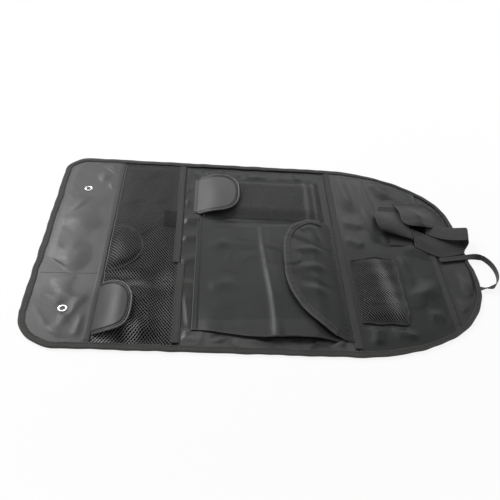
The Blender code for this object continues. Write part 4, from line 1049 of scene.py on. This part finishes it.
def nose_panel_z(x, y):
    """Low folds run across the nose from its far edge, and the cloth puffs up beside the net."""
    z = 0.0020 * hill(x, y, 0.213, -0.090, 0.034, 0.048) + folds(x, y, NOSE_FOLDS)
    z = z + 0.0007 * crumple(x, y, 0.090, 71) + 0.00010 * crumple(x, y, 0.026, 72)
    net_side = np.maximum(np.abs(y - NOSE_NET_Y) - 0.0645, np.abs(x - 0.1463) - 0.0325)
    seam = smooth((inset(x, y) - UNDER_BINDING) / 0.014) * smooth((x - TAPE_2_X - 0.005) / 0.012)
    seam = seam * smooth((NOSE_HEM_X - 0.002 - x) / 0.010)
    seam = seam * (0.12 + 0.88 * smooth((net_side - 0.001) / 0.012))
    hem = 0.0007 * smooth((x - NOSE_HEM_X + 0.0080) / 0.0015) * smooth((inset(x, y) - UNDER_BINDING) / 0.002)
    return level(1) + raised(z) * seam + hem


def nose_panel():
    """Nose cloth from the second divider tape to the nose seam, between the panel's sides."""
    u, v = grid(108, 226)
    start = TAPE_2_X + 0.0015
    x = start + (NOSE_HEM_X - start) * u
    y = (0.002 - half_width(x, -1)) * (1 - v) + (half_width(x, 1) - 0.002) * v
    # Painted light: a highlight along the hem strip, sheen over the far part of the nose, and shade under the
    # net.
    tint_and_painted_light = 0.5 * smooth((x - NOSE_HEM_X + 0.0080) / 0.002)
    tint_and_painted_light = tint_and_painted_light + 0.45 * smooth((y + 0.02) / 0.10) * smooth((0.21 - x) / 0.05)
    tint_and_painted_light = tint_and_painted_light - 0.9 * net_shade(x, y, NOSE_NET_X, NOSE_NET_X + 0.063, -0.145, -0.020)
    piece = surface("nose_cloth", over(x, y, nose_panel_z), flat_cloth(x, y, tint_and_painted_light), DARK_NYLON,
                    ("nose_panel",), SHEET)
    y = np.linspace(-0.140, 0.140, 240)
    return [over(NOSE_HEM_X - back, y, nose_panel_z, ON_SHEET) for back in (0.0016, 0.0060)]


def nose_net_z(x, y):
    """Sewn at three sides and gathered by the elastic at its mouth, with folds that run along the nose."""
    side = np.minimum(-0.017 - y, y - NOSE_NET_NEAR)
    foot = x - NOSE_NET_X
    ease = smooth(side / 0.018) * smooth(foot / 0.020)
    pull = 0.5 + 0.5 * np.sin(2 * math.pi * y / 0.031 + 0.6)
    band = 0.0016 * fold(x, y, (0.150, -0.020), (0.168, -0.140), 0.007)
    rise = 0.0042 + 0.0012 * pull * smooth(foot / 0.05) + 0.0006 * crumple(x, y, 0.03, 81)
    return level(2, NET_THICK) + ease * (rise + band)


def nose_net_mouth(y):
    """The mouth's set-back: scallops between the gathers, pulled in at both its ends."""
    scallops = 0.0015 * np.abs(np.sin(math.pi * (y - NOSE_NET_NEAR) / 0.0175))
    return scallops + 0.0020 * smooth((np.abs(y - NOSE_NET_Y) - 0.043) / 0.02)


def nose_net_paleness(x, y):
    """Pale along a band beside the mouth, where the net turns to the light."""
    return 0.60 * fold(x, y, (0.150, -0.004), (0.168, -0.156), 0.0085)


def drawn_in(u):
    """How far the nose net's far side is drawn in at u along the nose: 6 mm less a low arch."""
    return 0.006 * (1 - hill(u, 0 * u, 0.042, 0.0, 0.050, 1.0))


def nose_net():
    """Open knitted net over the nose pocket, with an elastic cord along its right-hand mouth.

    Its far side is sewn on in a low arch, so the net's far part is drawn in beside the arch's top.
    """
    def place(u, v):
        """The flat net at the pocket's height, less the mouth's set-back and drawn in at its far side."""
        y = NOSE_NET_NEAR + v - smooth((v - 0.090) / 0.039) * drawn_in(u)
        return over(NOSE_NET_X + u * (NOSE_NET_LONG - nose_net_mouth(y)) / NOSE_NET_LONG, y, nose_net_z)

    piece = net("nose_pocket_net", NOSE_NET_LONG, NOSE_NET_WIDE, place, ("nose_mesh_pocket",), 0.0019, 0.0024,
                bright=nose_net_paleness)
    rim = place(NOSE_NET_LONG, np.linspace(0.0, NOSE_NET_WIDE, 160)) + (0.0008, 0.0, 0.0004)
    cord = round_cord("nose_pocket_elastic", spaced(rim, 0.0010), 0.0012, THREAD,
                      ("nose_mesh_elastic",), sides=12, twist=1.0)
    u = np.linspace(0.001, 0.064, 120)
    for name, at, pulled in (("near", 0.0, 0.0), ("far", NOSE_NET_WIDE, 1.0)):
        line = place(u, at)
        line[:, 1] += 0.0008 * np.sin(u / 0.0052) - pulled * drawn_in(u)
        line[:, 2] += 0.0007
        round_cord(f"nose_net_side_{name}", spaced(line, 0.0010), 0.0009, THREAD, sides=10, twist=1.0)


# Straps

def strap(name, point, columns, rows, width, length, nodes,
          material=WEBBING):
    """A strap whose middle is point(u, v), u across and v along, with its edges lightly rubbed paler."""
    u, v = grid(columns, rows)
    edge = 0.35 * np.clip((np.abs(2 * u - 1) - 0.92) / 0.08, 0, 1)
    cloth = flat_cloth((u - 0.5) * width, v * length, edge)
    piece = surface(name, np.stack(point(u, v), axis=-1), cloth, material, nodes, STRAP)


def sewn_across(point, shares, near_end, count, above):
    """Rows of stitches across a strap at these shares of its length, from near_end in from either side."""
    u = np.linspace(near_end, 1 - near_end, count)
    return [np.stack(point(u, 0 * u + share), axis=1) + (0.0, 0.0, above) for share in shares]


def hook_strap():
    """Humps up from its root, turns under itself and ends flat on the panel. Its right side trails the left.

    The path's rows are shares of the way along the panel and of the hump's height.
    """
    path = ((0.00, 0.00), (0.14, 0.00), (0.24, 0.34), (0.35, 0.76), (0.49, 1.00), (0.64, 0.98), (0.74, 0.74),
            (0.75, 0.46), (0.65, 0.28), (0.54, 0.18), (0.52, 0.06), (0.59, 0.00), (0.79, 0.00), (1.00, 0.00))
    down = [row[0] * 0.095 for row in path]
    lift = [row[1] for row in path]
    flat = level(2, STRAP)

    def point(u, v):
        """The path's place at v. Towards u = 1 the hump is lower and lies nearer, and it has a low crown."""
        hump = np.clip(through(lift, v), 0, None)
        y = 0.107 - through(down, v) - 0.020 * hump * u
        x = RIGHT - 0.1215 + STRAP_WIDTH * u - 0.017 * hump * (1 - u)
        crown = 0.0012 * np.sin(math.pi * u) * hump + 0.0006 * np.sin(u * 9 + v * 12) * hump
        return x, y, flat + 0.0175 * hump * (1 - 0.62 * u) + crown

    strap("hook_strap_webbing", point, 36, 150, STRAP_WIDTH, 0.186, ("hook_strap",))
    x = np.linspace(RIGHT - 0.120, RIGHT - 0.086, 40)
    return [np.stack((x, 0 * x + at, 0 * x + flat + 0.0006), axis=1) for at in (0.103, 0.098)]


def cover_tab():
    """A broad tab sewn along its far side. It rises to a free near edge that stands over the hook strap."""
    width = 0.074

    def point(u, v):
        """A straight line from far to near at each u, lifted as v grows, with a fold and a dipped edge."""
        x = RIGHT - 0.095 + width * u
        far = np.minimum(0.118, half_width(x + BINDING, 1) - BINDING - 0.003)
        near = 0.043 + 0.014 * smooth((u - 0.35) / 0.65)
        near = near + 0.020 * (1 - np.sqrt(1 - np.clip(1 - width * u / 0.026, 0, 1) ** 2))
        y = far + (near - far) * v
        lift = smooth(v / 0.75) * (1 - smooth((u - 0.30) / 0.70)) * (0.76 + 0.24 * smooth(u / 0.30))
        soft = 0.0010 * crumple(x, y, 0.05, 91) * smooth(v / 0.3)
        soft = soft + 0.0014 * fold(x, y, (0.215, 0.112), (0.240, 0.046), 0.007)
        dip = 0.0014 * smooth((v - 0.93) / 0.07)
        return x, y, level(2) + 0.0165 * lift + np.clip(soft, -0.0003, None) * smooth(v / 0.2) - dip * lift

    strap("cover_tab_cloth", point, 70, 70, width, 0.080, ("cover_tab",),
          material=TAB_CLOTH)
    return sewn_across(point, (0.03, 0.10), 0.02, 120, 0.0005)


def loop_strap():
    """Sewn on the nose, it runs out past the edge, turns back over itself in a round fold and ends free.

    The path's rows are x, height, shift to the far side and how far the strap lies over itself.
    """
    flat, seat, over_edge = level(1, STRAP), level(2, STRAP), level(2, TAPE) + TAPE + PLAY + STRAP
    start, end, tall = RIGHT - 0.082, RIGHT + 0.004, 0.0125
    path = ((start, seat, 0.05, 0.0),
            (start / 2 + NOSE_HEM_X / 2, seat, -0.27, 0.0),
            (NOSE_HEM_X + 0.006, seat, -0.60, 0.0),
            (RIGHT - BINDING - tall, flat + 2 * STRAP, -0.44, 0.0),
            (RIGHT - BINDING + 0.0015, over_edge, -0.36, 0.3),
            (end - 0.5 * tall, over_edge + 0.5 * STRAP, -0.2, 0.7),
            (end - 0.1 * tall, over_edge + 0.35 * tall, -0.1, 1.0),
            (end, over_edge + 0.65 * tall, 0.0, 1.0),
            (end - 0.3 * tall, over_edge + tall, 0.0, 1.0),
            (end - 1.1 * tall, over_edge + 0.94 * tall, 0.0, 1.0),
            (end - 0.0266, over_edge + 0.70 * tall, 0.08, 1.0),
            (end - 0.040, over_edge + 0.48 * tall, 0.25, 1.0),
            (end - 0.052, over_edge + 0.36 * tall, 0.45, 1.0),
            (end - 0.062, over_edge + 0.30 * tall, 0.65, 1.0))
    columns = list(zip(*path))

    def point(u, v):
        """The path's place at v and the width across it, drawn together and slanted where it is doubled."""
        x, z, shift, doubled_up = (through(column, v) for column in columns)
        across = STRAP_WIDTH * (1 - 0.24 * doubled_up) * (u - 0.5)
        y = 0.0265 + across + 0.030 * shift + 0.004 * doubled_up
        root = (1 - smooth((v - 0.04) / 0.32)) * (0.25 + 0.75 * smooth(u / 0.6))
        crown = 0.0005 * np.sin(math.pi * u) * smooth((v - 0.3) / 0.2)
        crown = crown + 0.0006 * np.sin(5 * u + 14 * v) * root
        return x + 0.22 * across * doubled_up, y, z + 0.0065 * root + crown

    strap("loop_strap_webbing", point, 30, 180, STRAP_WIDTH, 0.168, ("loop_strap",))
    return sewn_across(point, (0.015, 0.06), 0.04, 40, 0.0006)


def hang_loop():
    """A narrow tape that lies flat at its ends and stands on edge where it loops out past the nose.

    The path's rows are x, y, height and how far the tape stands up on its edge.
    """
    over_edge, out = level(2, TAPE) + TAPE / 2 + PLAY + STRAP / 2, RIGHT + 0.030
    centre, half, butt, width = -0.038, 0.033, RIGHT + TAPE + 2 * PLAY, 0.009
    far, near = centre + half, centre - half
    path = [(RIGHT - 0.050, far - 0.37 * half, over_edge, 0.0),
            (RIGHT - 0.020, far - 0.19 * half, over_edge, 0.0),
            (butt + 2 * STRAP, far - 0.11 * half, over_edge + 2 * STRAP, 0.25)]
    turn = butt + 0.7 * width
    for step in range(9):
        angle = math.pi * 0.36 * (1 - step / 4)
        x, y = turn + (out - turn) * math.cos(angle), centre + half * math.sin(angle)
        path.append((x, y, 0.5 * width + PLAY, 1.0))
    path.append((butt + 0.35 * width, near + 0.05 * width, 4.2 * STRAP, 0.5))
    path.append((butt - 0.60 * width, near + 0.05 * width, 2.2 * STRAP, 0.1))
    columns = list(zip(*path))

    def point(u, v):
        """The path's place at v, then across the tape square to the path, leaning up by its stand."""
        x, y, z, stand = (through(column, v) for column in columns)
        lean = math.pi / 2 * np.clip(stand, 0, 1)
        ahead_x, ahead_y = (through(column, v + 0.02) - through(column, v - 0.02) for column in columns[:2])
        reach = width * (u - 0.5)
        level_reach = reach * np.cos(lean) / np.hypot(ahead_x, ahead_y)
        return x - ahead_y * level_reach, y + ahead_x * level_reach, z + reach * np.sin(lean)

    strap("hang_loop_tape", point, 8, 200, width, 0.145, ("hang_loop",))


# Camera, light and background

def linked(name, data):
    """A new object of this data, put in the scene."""
    made = bpy.data.objects.new(name, data)
    bpy.context.scene.collection.objects.link(made)
    return made


def camera():
    """The photograph's viewpoint: direction, roll and distance from a fit of the panel's outline."""
    azimuth, elevation, roll = math.radians(-5.6909), math.radians(42.3397), math.radians(6.3369)
    distance, sensor, focal_pixels, picture_pixels = 0.911, 36.0, 620, 500
    sideways = Vector((math.cos(azimuth), math.sin(azimuth), 0.0))
    back = Vector((math.sin(azimuth) * math.cos(elevation), -math.cos(azimuth) * math.cos(elevation),
                   math.sin(elevation)))
    up = back.cross(sideways)
    right = sideways * math.cos(roll) + up * math.sin(roll)
    top = -sideways * math.sin(roll) + up * math.cos(roll)
    place = Vector((-0.0178 + LEFT + LENGTH / 2, -0.0107, 0.003)) + back * distance
    data = bpy.data.cameras.new("view")
    data.sensor_width = sensor
    data.lens = sensor * focal_pixels / picture_pixels
    made = linked("view", data)
    made.matrix_world = Matrix.Translation(place) @ Matrix((right, top, back)).transposed().to_4x4()
    bpy.context.scene.camera = made


def lamp(name, place, aim, width, height, power):
    """A rectangular lamp of this width and height in metres and power in watts, turned to its aim."""
    data = bpy.data.lights.new(name, "AREA")
    data.shape = "RECTANGLE"
    data.size, data.size_y, data.energy = width, height, power
    made = linked(name, data)
    made.location = place
    made.rotation_euler = (Vector(place) - Vector(aim)).to_track_quat("Z", "Y").to_euler()


def seen_or_shining(tree, share=None):
    """1 for the camera's rays, and the share or 1 for those of what shines or lets light through."""
    path = node(tree, "ShaderNodeLightPath")
    shining = maths(tree, "ADD", path["Is Glossy Ray"], path["Is Transmission Ray"])
    if share:
        shining = maths(tree, "MULTIPLY", shining, share)
    return maths(tree, "ADD", path["Is Camera Ray"], shining)


def end_tree(tree, kind, share, first, second):
    """Ends a tree in its output node of this kind, with a blend of two shaders by the share."""
    mix = node(tree, "ShaderNodeMixShader", {0: share, 1: first, 2: second})[0]
    node(tree, kind, {0: mix})


def backdrop():
    """White walls and floor to the camera and in what shines, and a dimmer grey for the light they give.

    The white reaches the shiny surfaces from low down only, as white walls under a dark ceiling would.
    """
    white = (1.0, 1.0, 1.0, 1.0)
    scene = bpy.context.scene
    scene.view_settings.view_transform = "Standard"
    scene.world = bpy.data.worlds.new("studio")
    scene.world.use_nodes = True
    tree = scene.world.node_tree
    tree.nodes.clear()
    way = node(tree, "ShaderNodeTexCoord")["Generated"]
    height = node(tree, "ShaderNodeSeparateXYZ", {0: way})["Z"]
    wall = mapped(tree, height, (0.10, 0.40), (1.0, 0.0), "SMOOTHSTEP")
    grey = node(tree, "ShaderNodeBackground", {"Color": white, "Strength": 0.36})[0]
    bright = node(tree, "ShaderNodeBackground", {"Color": white, "Strength": 1.0})[0]
    end_tree(tree, "ShaderNodeOutputWorld", seen_or_shining(tree, wall), grey, bright)

    bpy.ops.mesh.primitive_plane_add(size=6.0, location=(0.0, 0.0, -0.0004))
    floor = bpy.context.object
    floor.name = "floor"
    material = bpy.data.materials.new("floor_white")
    material.use_nodes = True
    tree = material.node_tree
    tree.nodes.clear()
    place = node(tree, "ShaderNodeTexCoord")["Object"]
    away = node(tree, "ShaderNodeVectorMath", {0: place}, operation="LENGTH")["Value"]
    fade = mapped(tree, away, (0.25, 0.75), (0.87, 1.0), "SMOOTHSTEP")
    matt = node(tree, "ShaderNodeBsdfDiffuse", {"Color": (0.95, 0.95, 0.95, 1.0)})[0]
    glow = node(tree, "ShaderNodeEmission", {"Color": white, "Strength": 1.0})[0]
    seen = maths(tree, "MULTIPLY", seen_or_shining(tree), fade)
    end_tree(tree, "ShaderNodeOutputMaterial", seen, matt, glow)
    floor.data.materials.append(material)


camera()
backdrop()
lamp("key", (-1.20, 1.10, 1.35), (-0.10, 0.0, 0.0), 0.8, 0.7, 30.0)
lamp("far_strip", (0.35, 1.70, 1.10), (0.10, 0.0, 0.0), 1.4, 0.3, 5.0)
lamp("above", (0.0, 0.30, 1.70), (0.0, 0.0, 0.0), 1.2, 1.2, 5.0)

backing()
sewing = [edge_binding()]
sewing += top_panel()
eyelets()
for sew in (bottle_net, divider_tapes, flaps, glasses_pocket, document_pocket, document_flap, nose_panel):
    sewing += sew()
nose_net()
for sew in (hook_strap, cover_tab, loop_strap):
    sewing += sew()
hang_loop()
stitches("sewn_rows", sewing, THREAD)
